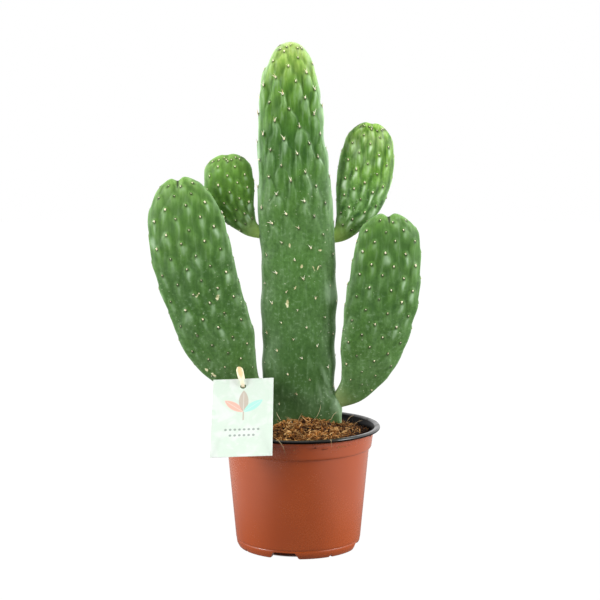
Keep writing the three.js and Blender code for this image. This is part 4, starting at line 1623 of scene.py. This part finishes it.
@dataclass
class Pot:
    """A drawn plastic nursery pot: foot ring, tapering body, collar and rolled lip."""

    rim_radius: float = 84.0
    height: float = 125.0
    wall: float = 1.2
    foot_radius: float = 61.9
    foot_top: float = 8.0
    body_taper: float = 0.093
    collar_from: float = 104.0
    collar_to: float = 119.6
    collar_radius: float = 75.2
    collar_taper: float = 0.13
    lip_radius: float = 1.7
    floor_height: float = 7.0
    boss_radius: float = 20.0
    boss_height: float = 2.0
    arch_height: float = 6.8
    arch_at_floor: float = 31.0
    arch_at_top: float = 21.0
    arch_azimuths: Sequence[float] = (-13, 77, 167, 257)
    notch_turn: float = 45.0
    notch_height: float = 2.8
    notch_at_floor: float = 4.4
    notch_at_top: float = 0.8
    drain_radius: float = 5.0
    drain_from_axis: float = 45.0
    drain_sides: int = 28
    dust_from: float = 108.0
    columns: int = 288

    def body_at(self, height: float) -> float:
        """The body's outer radius at a height."""
        return self.foot_radius + 1.3 + self.body_taper * height

    def collar_at(self, height: float) -> float:
        """The collar's outer radius at a height."""
        return self.collar_radius + self.collar_taper * (height - self.collar_from)

    def azimuths(self) -> Array:
        """Spaces the columns, closer together at the notches.

        Returns:
            Their azimuths in degrees.
        """
        notches = [azimuth + self.notch_turn for azimuth in self.arch_azimuths]
        close = [notch + aside for notch in notches for aside in np.arange(-2.4, 2.5, 0.3)]
        return np.unique(np.round(np.append(np.arange(self.columns) * 360 / self.columns, close) % 360, 3))

    def lift(self, azimuths: Array) -> Array:
        """Works out the arches and notches in the foot.

        Args:
            azimuths: the columns' azimuths in degrees.

        Returns:
            How high the foot's edge is above the floor at each.
        """
        raised = np.zeros(azimuths.shape)
        arch = (0, self.arch_height, self.arch_at_floor, self.arch_at_top)
        notch = (self.notch_turn, self.notch_height, self.notch_at_floor, self.notch_at_top)
        for azimuth in self.arch_azimuths:
            for turn, height, at_floor, at_top in (arch, notch):
                apart = np.abs((azimuths - azimuth - turn + 180) % 360 - 180)
                aside = self.foot_radius * np.radians(apart)
                share = np.clip((at_floor / 2 - aside) / (at_floor / 2 - at_top / 2), 0, 1)
                raised = np.maximum(raised, height * share * share * (3 - 2 * share))
        return raised

    def outside(self) -> list[Point]:
        """Lists the profile above the foot, outside.

        Returns:
            Radius, height, and 1 on the black lining, from the foot to the top of the lip.
        """
        low, top, under_lip = self.collar_from, self.collar_to, self.height - 3.2
        body, collar, foot = self.body_at, self.collar_at, self.foot_radius
        rows = [(foot + 1.8, self.foot_top, 0), (foot + 1.6, 8.4, 0), (foot + 1.6, 8.8, 0)]
        rows += [(body(z), z, 0) for z in (9.6, 10.6, *np.linspace(14, low - 2.6, 18))]
        rows += [(body(low) - 0.1, low - 1.2, 0), (collar(low) - 1.6, low - 0.9, 0)]
        rows += [(collar(low) - 0.5, low - 0.4, 0), (collar(low), low + 0.5, 0)]
        rows += [(collar(z), z, 0) for z in np.linspace(low + 1.8, top - 4, 6)]
        rows += [(collar(top - 3) + 0.25, top - 3, 0), (collar(top - 2), top - 2, 0)]
        rows += [(collar(top), top, 0), (collar(top) + 1.0, top + 0.5, 0)]
        rows += [(self.rim_radius - 3.6, under_lip - 0.8, 0), (self.rim_radius - 1.3, under_lip - 0.1, 1)]
        lip = self.lip_radius
        across, up = self.rim_radius - lip, self.height - lip
        for angle in np.radians((-55, -30, -5, 20, 45, 68, 90)):
            rows.append((across + lip * np.cos(angle), up + lip * np.sin(angle), 1))
        return rows

    def inside(self) -> list[Point]:
        """Lists the profile inside, from the lip down to the floor's middle.

        Returns:
            Radius, height, and 1 for the black lining.
        """
        wall, low, top = self.wall, self.collar_from, self.collar_to
        floor, boss = self.floor_height + wall, self.boss_radius
        rows = [(self.rim_radius - 4.0, self.height - 0.05), (self.rim_radius - 5.2, self.height - 0.6)]
        rows += [(self.collar_at(top) - wall + 1.2, top + 1.8)]
        rows += [(self.collar_at(z) - wall, z) for z in (top, low + 12, low + 1.4)]
        rows += [(self.body_at(z) - wall, z) for z in (low, 70, 40, 12, 9)]
        rows += [(self.body_at(9) - wall - 1, floor), (boss + 2.5, floor)]
        rows += [(boss + 0.5, floor + self.boss_height)]
        return [(radius, height, 1) for radius, height in rows]

    def foot_at(self, height: Array) -> Array:
        """The foot's outer radius at a height."""
        beyond = np.interp(height, [0, 0.5, 1.4, 4, self.foot_top], [-1.2, -0.5, 0, 1.3, 1.8])
        return self.foot_radius + beyond

    def shell(self, outer: Material, lining: Material) -> Piece:
        """Builds the pot as one closed wall.

        Args:
            outer: the material of its outside.
            lining: the material of its inside and of its lip.

        Returns:
            The pot.
        """
        azimuths = self.azimuths()
        columns = len(azimuths)
        lift, flat, floor = self.lift(azimuths), np.ones(columns), self.floor_height
        boss, boss_top = self.boss_radius, self.floor_height + self.boss_height
        under = [(boss, boss_top, 0), (boss + 2, floor, 0), (self.foot_radius - 4.4, floor, 0)]
        under += [(self.foot_radius - 3.6, lift + (floor - lift) * share, 0) for share in (0.85, 0.4, 0.0)]
        for share in (0.0, 0.06, 0.17, 0.32, 0.5, 0.75):
            height = lift + (self.foot_top - lift) * share
            under.append((self.foot_at(height), height, 0))
        rings = [(r * flat, z * flat, kind) for r, z, kind in under + self.outside() + self.inside()]
        angle = np.radians(azimuths)
        grid = np.stack([np.stack([r * np.sin(angle), -r * np.cos(angle), z], axis=1) for r, z, _ in rings])
        ends = [(0, 0, boss_top), (0, 0, boss_top + self.wall)]
        piece = closed_skin("pot_shell", grid, ends, [outer, lining])
        kinds = np.array([kind for _, _, kind in rings])
        upper = np.minimum(kinds[:-1], kinds[1:])
        upper[np.flatnonzero(kinds)[0] - 1] = 0
        indices = np.concatenate([np.repeat(upper, columns), np.zeros(columns), np.ones(columns)])
        piece.data.polygons.foreach_set("material_index", indices.astype(np.int32))
        heights = np.append(grid[..., 2].ravel(), [floor, floor])
        store(piece, "dust", 0.7 * smooth(self.dust_from, self.height - 1, heights))
        return self._drained(piece)

    def _drained(self, piece: Piece) -> Piece:
        """Cuts the drain holes in the floor and marks the sharp edges.

        Args:
            piece: the pot.

        Returns:
            The same piece.
        """
        sides = self.drain_sides
        angle = np.linspace(0, 2 * math.pi, sides, endpoint=False)
        drains = []
        for azimuth in np.radians(self.arch_azimuths):
            x = self.drain_from_axis * np.sin(azimuth) + self.drain_radius * np.cos(angle)
            y = -self.drain_from_axis * np.cos(azimuth) + self.drain_radius * np.sin(angle)
            ends = (self.floor_height - 3, self.floor_height + 4)
            drains.append(np.stack([np.stack([x, y, np.full(sides, z)], axis=1) for z in ends]))
        cutter = capped_tubes("drain_cutter", drains)
        modifier = piece.modifiers.new("drains", "BOOLEAN")
        modifier.operation, modifier.object, modifier.solver = "DIFFERENCE", cutter, "EXACT"
        mesh = mesh_after_modifiers(piece)
        piece.modifiers.clear()
        piece.data = mesh
        bpy.data.objects.remove(cutter)
        mesh.set_sharp_from_angle(angle=math.radians(50))
        return piece

    def build(self) -> None:
        """Builds and dresses the pot."""
        ride(self.shell(PotPlastic().material(), PotLining().material()), "pot_plastic", "pot")


@dataclass
class Mix:
    """The potting mix: a heap with crumbs of peat and coir and fibres on it."""

    pot: Pot
    level: float = 117.5
    mound_centre: tuple[float, float] = (6.0, -12.0)
    mound_height: float = 18.0
    mound_width: float = 44.0
    mound_depth: float = 34.0
    grain: float = 1.5
    columns: int = 220
    rings: int = 44
    trunk_x: float = 0.5
    trunk_half_width: float = 43.3
    trunk_half_thickness: float = 18.8
    roundness: float = 2.2
    hole_floor: float = 91.7
    crumbs: int = 3400
    chips: int = 1900
    fibres: int = 900
    edge_height: float = 115.0
    loose_above: float = 108.0
    lump_scale: float = 0.16
    lump_height: float = 1.6
    open_radius: float = 75.0
    filled_half_sizes: tuple[float, float] = (43.0, 19.0)
    strands: Sequence[tuple[float, Sequence[Point]]] = (
        (0.24, (
            (-22, -77, 122), (-20.5, -82.3, 126), (-16.5, -84, 122.6), (-13.8, -83.6, 117), (-12, -82, 108.8),
        )),
        (0.2, ((31, -75, 123), (32.3, -79.5, 125.6), (32.6, -80.6, 121), (33.2, -79, 117.5))),
        (0.3, ((-18, -22, 134), (-20.5, -25, 139), (-22, -26, 143))),
        (0.35, ((0, -24, 132), (1, -27, 137), (4, -27, 142))),
        (0.2, ((14, -24, 133), (19, -27, 139), (22, -28, 146), (22.5, -27, 151))),
        (0.3, ((33, -22, 134), (36, -24, 140), (40, -24, 143))),
        (0.3, ((-6, -30, 132), (-9, -33, 138), (-14, -33, 139.5))),
        (0.3, ((48, -14, 128), (52, -16, 135), (57, -15, 138))),
        (0.3, ((56, 6, 121), (61, 4, 127), (66, 3, 128.5))),
        (0.25, ((-44, -30, 123), (-49, -34, 130), (-55, -34, 131))),
    )

    def height_at(self, x: Array, y: Array) -> Array:
        """Works out the height of the mix's surface.

        Args:
            x: how far places are to the right of the pot's axis.
            y: how far they are behind it.

        Returns:
            The heights there.
        """
        aside, ahead = x - self.mound_centre[0], y - self.mound_centre[1]
        heap = np.exp(-((aside / self.mound_width) ** 2) - (ahead / self.mound_depth) ** 2)
        sunk = 4 * (np.hypot(x, y) / self.open_radius) ** 6
        chunks = np.sin(0.55 * x + 1.3 * np.sin(0.31 * y)) * np.sin(0.49 * y + 1.7 * np.sin(0.27 * x))
        return self.level + self.mound_height * heap - sunk + self.grain * chunks

    def bed(self, material: Material) -> Piece:
        """Builds the body of the mix, round the plain hole that the trunk stands in.

        Args:
            material: what it is made of.

        Returns:
            The body, which says where crumbs may lie on it.
        """
        pot, low = self.pot, self.pot.collar_from
        angle = np.linspace(0, 2 * math.pi, self.columns, endpoint=False)
        unit_x, unit_y = oval(angle, self.roundness)
        hole_x = (self.trunk_half_width + TOUCH_GAP) * unit_x + self.trunk_x
        hole_y = (self.trunk_half_thickness + TOUCH_GAP) * unit_y
        inner = pot.collar_at(self.edge_height) - pot.wall - TOUCH_GAP
        wall_x, wall_y = inner * np.cos(angle), inner * np.sin(angle)
        rings = [(hole_x, hole_y, np.full(self.columns, self.hole_floor))]
        for share in np.linspace(0, 1, self.rings):
            x, y = hole_x + (wall_x - hole_x) * share, hole_y + (wall_y - hole_y) * share
            places = [Vector((a * self.lump_scale, b * self.lump_scale, 3.1)) for a, b in zip(x, y)]
            rough = np.array([noise.fractal(place, 0.9, 2.1, 4) for place in places])
            inside = smooth(0, 0.08, share) * smooth(1, 0.9, share)
            lumps = self.lump_height * rough * inside
            rings.append((x, y, self.height_at(x, y) + lumps - self.lump_height / 2))
        floor = pot.floor_height + pot.wall + TOUCH_GAP
        sides = [(pot.collar_at(low + 2.6) - 1.7, low + 2.6), (pot.body_at(low) - 1.8, low + 0.3)]
        sides += [(pot.body_at(60) - 1.5, 60), (pot.body_at(floor) - 1.9, floor)]
        sides += [(pot.boss_radius + 3.4, floor)]
        rings += [(r * np.cos(angle), r * np.sin(angle), np.full(self.columns, z)) for r, z in sides]
        grid = np.stack([np.stack(ring, axis=1) for ring in rings])[::-1]
        ends = [(0, 0, floor + pot.boss_height), (self.trunk_x, 0, self.hole_floor)]
        piece = closed_skin("potting_mix", grid, ends, [material])
        points = np.vstack([grid.reshape(-1, 3), ends])
        away = np.hypot(points[:, 0], points[:, 1])
        loose = (points[:, 2] > self.loose_above) * smooth(inner - 1.0, inner - 2.5, away)
        loose[-2 - self.columns :] = 0
        store(piece, "loose", loose)
        return piece

    def crumb_recipe(self, material: Material) -> Recipe:
        """Makes the tree that scatters crumbs over the mix.

        Args:
            material: the crumbs'.

        Returns:
            The tree.
        """
        r = Recipe("crumbs", {"Density": 1.0, "Size": 1.9 * MM, "Seed": 9})
        inputs = {"Radius": r.given("Size"), "Subdivisions": 1}
        ball = r.signal("GeometryNodeMeshIcoSphere", None, inputs, out="Mesh")
        shapes = r.choice([r.shaken(ball, 2.2 * MM, 520, seed) for seed in (1.3, 4.1, 7.7)])
        lift = r.scaled(r.signal("GeometryNodeInputNormal"), r.chance(-0.6 * MM, 1.1 * MM, 41))
        spin = r.chance((-3.1, -3.1, -3.1), (3.1, 3.1, 3.1), 31)
        stretch = r.chance((0.35, 0.5, 0.3), (1.0, 1.5, 0.8), 37)
        r.plant(r.moved(r.scattered(), lift), shapes, spin, stretch, material, seed=43, pick=True)
        return r

    def fibre_recipe(self, material: Material) -> Recipe:
        """Makes the tree that lays short curly coir fibres on the mix.

        Args:
            material: the fibres'.

        Returns:
            The tree.
        """
        r = Recipe("fibres", {"Density": 1.0, "Length": 9.0 * MM, "Radius": 0.22 * MM, "Seed": 12})
        end = r.signal("ShaderNodeCombineXYZ", None, {"X": r.given("Length")})
        line = r.signal("GeometryNodeCurvePrimitiveLine", None, {"End": end})
        fine = r.signal("GeometryNodeResampleCurve", None, {"Curve": line, "Count": 7})
        inputs = {"Resolution": 3, "Radius": r.given("Radius")}
        ring = r.signal("GeometryNodeCurvePrimitiveCircle", None, inputs, out="Curve")
        tubes = []
        for seed in (2.2, 5.8, 8.4):
            inputs = {"Curve": r.shaken(fine, 6.5 * MM, 170, seed), "Profile Curve": ring, "Fill Caps": True}
            tubes.append(r.signal("GeometryNodeCurveToMesh", None, inputs))
        lift = r.signal("ShaderNodeCombineXYZ", None, {"Z": r.chance(0.2 * MM, 1.6 * MM, 57)})
        spin = r.chance((-0.5, -0.55, -3.1), (0.5, 0.2, 3.1), 51)
        size = r.chance(0.35, 1.25, 53)
        r.plant(r.moved(r.scattered(), lift), r.choice(tubes), spin, size, material, seed=59, pick=True)
        return r

    def loose_strands(self, material: Material) -> Piece:
        """Builds the longer root fibres, one of which hangs over the pot's lip.

        Args:
            material: what they are made of.

        Returns:
            The fibres, as one piece.
        """
        steps, sides = 17, 5
        share = np.linspace(0, 1, steps)
        angle = np.linspace(0, 2 * math.pi, sides, endpoint=False)[None, :, None]
        tubes, shades = [], []
        for index, (radius, knots) in enumerate(self.strands):
            line = KnotCurve(knots).at(share)
            along = unit(np.gradient(line, axis=0))
            side = unit(np.cross(along, (0.3, 0.9, 0.1)))
            out = np.cross(along, side)
            thin = radius * (1 - 0.8 * share**3)[:, None, None]
            circles = np.cos(angle) * side[:, None] + np.sin(angle) * out[:, None]
            tubes.append(line[:, None] + thin * circles)
            shades.append(np.full(steps * sides, 0.35 + 0.6 * (index % 3) / 2))
        piece = capped_tubes("root_fibres", tubes, [material])
        store(piece, "tint", np.concatenate(shades))
        return piece

    def build(self) -> None:
        """Builds the mix, its crumbs and its fibres."""
        # the bed under the crumbs is near black, partly dark peat and partly painted shade in the gaps
        # between crumbs
        peat = PottingMix("potting mix", dark="#0c0603", middle="#1d1008", light="#3c2412", tinted=False)
        crumb = PottingMix("crumbs", dark="#0d0603", middle="#523018", light="#c4833e")
        fibre = PottingMix("coir fibres", dark="#2c180a", middle="#9f6832", light="#f6c885")
        root = PottingMix("root fibres", dark="#6b5236", middle="#b39a72", light="#e2d2ac")
        bed = self.bed(peat.material())
        half_x, half_y = (half * MM for half in self.filled_half_sizes)
        area = math.pi * (self.open_radius * MM) ** 2 - math.pi * half_x * half_y
        crumbs = self.crumb_recipe(crumb.material())
        ride(crumbs.grow(bed, "crumbs", {"Density": self.crumbs / area}), "potting_mix")
        fibres = self.fibre_recipe(fibre.material())
        ride(fibres.grow(bed, "coir_fibres", {"Density": self.fibres / area}), "coir_fibre")
        values = {"Density": self.chips / area, "Length": 5.0 * MM, "Radius": 0.5 * MM, "Seed": 21}
        ride(fibres.grow(bed, "coir_chips", values), "coir_fibre")
        ride(self.loose_strands(root.material()), "coir_fibre")
        ride(bed, "potting_mix", "soil")


# ---- the tag ----


@dataclass
class Tag:
    """The card and its raffia loop, which lean back from the pot's rim to the lower left paddle."""

    width: float = 61.0
    height: float = 96.0
    thickness: float = 0.6
    centre: Point = (-55.4, -56.8, 143.85)
    yaw: float = -5.0
    lean_back: float = 47.8
    roll: float = 3.6
    hole_radius: float = 3.0
    hole_from_top: float = 9.6
    edge_steps: int = 96
    loop_at_top: float = 7.0
    loop_at_hole: float = 3.4
    loop_thickness: float = 0.6
    loop_steps: int = 168
    loop_columns: int = 15
    loop_route: Sequence[Point] = (
        (0, -0.6, 0), (-0.3, 0.9, 2), (-1.6, 7.6, 3.8), (-3.2, 15.6, 5), (-4.2, 20.4, 5.2), (-4.6, 22, 3.8),
        (-4.2, 20.6, 2.4), (-3, 15.6, 0.9), (-1.6, 9.6, -1.2), (-0.4, 2.8, -2), (-0.1, 0.2, -1.6),
    )

    @property
    def hole_y(self) -> float:
        """How far the hole's middle is above the card's."""
        return self.height / 2 - self.hole_from_top

    def placed(self, points: Array) -> Array:
        """Moves points from the card's own plane to where it leans.

        Args:
            points: X to the right on the card, Y up it and Z out of its face.

        Returns:
            The points round the pot's axis.
        """
        turn = Matrix.Rotation(math.radians(self.yaw), 3, "Z")
        turn = turn @ Matrix.Rotation(math.radians(90 - self.lean_back), 3, "X")
        turn = turn @ Matrix.Rotation(math.radians(self.roll), 3, "Z")
        return points @ np.array(turn).T + np.array(self.centre)

    def rim_point(self, angle: float, inset: float) -> tuple[float, float]:
        """Finds where a ray from the hole's middle meets the card's edge.

        Args:
            angle: the ray's direction, from 0 to the right.
            inset: how far inside the edge to stop.

        Returns:
            The place on the card.
        """
        half_x, half_y = self.width / 2 - inset, self.height / 2 - inset
        dx, dy = math.cos(angle), math.sin(angle)
        reach = [half_x / abs(dx)] if abs(dx) > 1e-9 else []
        reach += [(half_y - self.hole_y) / dy] if dy > 1e-9 else []
        reach += [(half_y + self.hole_y) / -dy] if dy < -1e-9 else []
        return min(reach) * dx, self.hole_y + min(reach) * dy

    def card(self, material: Material) -> Piece:
        """Builds the card, with a punched hole and slightly soft edges.

        Args:
            material: its print.

        Returns:
            The card.
        """
        half_x, below = self.width / 2, -self.hole_y - self.height / 2
        corners = [math.atan2(y, x) for x in (-half_x, half_x) for y in (self.hole_from_top, below)]
        even = np.linspace(-math.pi, math.pi, self.edge_steps + 1)[1:]
        angles = np.unique(np.round(np.concatenate([even, corners]), 6))
        half, soft = self.thickness / 2, 0.12
        rim, edge = (np.array([self.rim_point(a, inset) for a in angles]) for inset in (soft, 0.0))
        circle = np.stack([np.cos(angles), np.sin(angles)], axis=1)
        hole, punched = (circle * (self.hole_radius + grow) + (0, self.hole_y) for grow in (soft, 0.0))
        middle = hole + (rim - hole) * 0.3
        rings = [(punched, soft - half), (punched, half - soft), (hole, half), (middle, half), (rim, half)]
        rings += [(edge, half - soft), (edge, soft - half), (rim, -half), (middle, -half), (hole, -half)]
        flat = np.vstack([np.column_stack([ring, np.full(len(angles), z)]) for ring, z in rings])
        faces = [face[::-1] for face in grid_faces(len(rings), len(angles), through=True)]
        piece = make_object("tag_print", self.placed(flat), faces, [material])
        lay_uv(piece, "card", flat[:, :2])
        store(piece, "front", smooth(0.0, 0.1, flat[:, 2]))
        store(piece, "rim", (np.abs(flat[:, 2]) < half - 0.5 * soft).astype(float))
        piece.data.set_sharp_from_angle(angle=math.radians(40))
        return piece

    def loop(self, material: Material) -> Piece:
        """Builds the raffia strip, cupped where it is wide and pleated where it goes through the hole.

        Args:
            material: what it is made of.

        Returns:
            The strip.
        """
        route = KnotCurve(np.array(self.loop_route) + (0, self.hole_y, 0), pull=0.5, closed=True)
        fine = np.linspace(0, 1, 1601)
        lengths = np.append(0.0, np.cumsum(np.linalg.norm(np.diff(route.at(fine), axis=0), axis=1)))
        share = np.interp(np.arange(self.loop_steps) / self.loop_steps * lengths[-1], lengths, fine)
        centre, along = route.at(share), route.heading(share, 1e-3)
        side = unit((1.0, 0, 0) - along * along[:, :1])
        out = np.cross(along, side)
        above = centre[:, 1:2] - self.hole_y
        spread = smooth(2, 14, above)
        half = (self.loop_at_hole + (self.loop_at_top - self.loop_at_hole) * spread) / 2
        half = half * (1 - 0.42 * smooth(16.5, 22.5, above))
        across = np.linspace(-1, 1, self.loop_columns)[None, :]
        cup = 0.55 * spread * across**2 + 0.35 * (1 - spread) * np.cos(across * 3 * math.pi)
        deep = self.loop_thickness / 2 * (1 - 0.75 * across**4)
        x = np.concatenate([across * half, across[:, ::-1] * half], axis=1)
        y = np.concatenate([cup + deep, (cup - deep)[:, ::-1]], axis=1)
        grid = centre[:, None] + x[..., None] * side[:, None] + y[..., None] * out[:, None]
        faces = [face[::-1] for face in grid_faces(*x.shape, through=True)]
        piece = make_object("raffia_loop", self.placed(grid.reshape(-1, 3)), faces, [material])
        # the cupped trough, where the strip is tan, partly painted shade
        hollow_tan_and_shade = np.concatenate([1 - across**2, 1 - across[:, ::-1] ** 2], axis=1) * spread
        store(piece, "hollow_tan_and_shade", hollow_tan_and_shade.ravel())
        steps = np.arange(self.loop_steps)[:, None] + 0 * x
        lay_uv(piece, "strip", np.stack([x * 2.2, steps * 0.12], axis=2).reshape(-1, 2))
        return piece

    def build(self) -> None:
        """Builds the card and the loop."""
        ride(self.card(CardPrint().material()), "tag_card", "tag_card")
        ride(self.loop(Raffia().material()), "raffia", "tag_loop")


# ---- the stage ----


@dataclass
class Studio:
    """The pale floor, the lights and the camera."""

    camera_aside: float = 1.85
    camera_away: float = 1651.0
    camera_height: float = 455.0
    camera_pitch: float = 6.95
    lens: float = 98.1
    floor_size: float = 9.0
    floor_drop: float = 0.2
    shade_radius: float = 0.0485
    white_radius: float = 0.0525
    bounce: float = 0.25
    side_bounce: float = 0.42
    aim: Point = (0, 0, 0.26)

    def floor(self) -> None:
        """Lays the pale floor, which glows round the pot, so that it ends in plain white."""
        s = Shader("floor", specular_ior_level=0.1, emission_strength=1.0)
        x, away = s.off_axis()
        away = away.smooth(self.shade_radius, self.white_radius)
        seen = s.signal("ShaderNodeLightPath", out="Is Camera Ray")
        level = self.bounce + self.side_bounce * x.away().smooth(0.06, 0.25)
        glow = away * (level + (1 - level) * seen)
        grain = s.mix(s.noise(2, 2), "#fdfdfd", "#fafafa")
        s.join(s.mix(glow, "#000000", "#ffffff"), s.principled.inputs["Emission Color"])
        material = s.finish(s.mix(away, grain, "#000000"), 0.9)
        half, low = self.floor_size / 2 / MM, -self.floor_drop
        corners = [(-half, -half, low), (half, -half, low), (half, half, low), (-half, half, low)]
        make_object("floor", np.array(corners) - AXIS, [(0, 1, 2, 3)], [material])

    def world(self) -> None:
        """Lights the scene from all round, with less from the side of the viewer."""
        world = bpy.data.worlds.new("studio")
        world.use_nodes = True
        t = Tree(world.node_tree)
        background = next(n for n in t.tree.nodes if n.type == "BACKGROUND")
        x, y, z = t.xyz(t.signal("ShaderNodeTexCoord", out="Generated"))
        sides = x.away().smooth(0.5, 1.0)
        behind = y.smooth(-0.1, 0.6)
        strength = 0.02 + 2.35 * sides + 1.2 * behind * (1 - sides) + 0.5 * z.smooth(0.35, 0.95)
        seen = t.signal("ShaderNodeLightPath", out="Is Camera Ray")
        t.join(strength * (1 - seen) + seen, background.inputs["Strength"])
        background.inputs["Color"].default_value = (1, 1, 1, 1)
        bpy.context.scene.world = world

    def light(self, name: str, place: Point, size: tuple[float, float], watts: float) -> None:
        """Hangs a softbox that faces the plant.

        Args:
            name: its name.
            place: where it hangs, in metres.
            size: how wide and how high it is, in metres.
            watts: its power.
        """
        lamp = bpy.data.lights.new(name, "AREA")
        lamp.shape, lamp.size, lamp.size_y, lamp.energy = "RECTANGLE", *size, watts
        made = link(bpy.data.objects.new(name, lamp))
        made.location = place
        made.rotation_euler = (Vector(self.aim) - Vector(place)).to_track_quat("-Z", "Y").to_euler()
        made.visible_camera = False

    def camera(self) -> None:
        """Sets the camera where the photograph was taken from."""
        lens = bpy.data.cameras.new("camera")
        lens.lens, lens.sensor_width, lens.clip_end = self.lens, 36, 50
        made = link(bpy.data.objects.new("camera", lens))
        made.location = (AXIS + (self.camera_aside, -self.camera_away, self.camera_height)) * MM
        made.rotation_euler = (math.radians(90 - self.camera_pitch), 0, 0)
        bpy.context.scene.camera = made

    def build(self) -> None:
        """Sets up the stage."""
        self.camera()
        self.floor()
        self.world()
        self.light("key", (1.7, -0.6, 0.85), (0.5, 1.1), 30)
        self.light("fill", (-1.7, -0.6, 0.65), (0.5, 1.1), 26)
        self.light("top", (0.0, -0.5, 1.65), (0.9, 0.7), 5)
        bpy.context.scene.view_settings.view_transform = "Standard"


def main() -> None:
    """Builds the stage and the plant."""
    logging.basicConfig(level=logging.INFO, format="%(name)s: %(message)s")
    pot = Pot()
    for part in (Studio(), pot, Mix(pot), Cactus(), Tag()):
        part.build()
        log.info("%s is done", type(part).__name__)


if __name__ == "__main__":
    main()
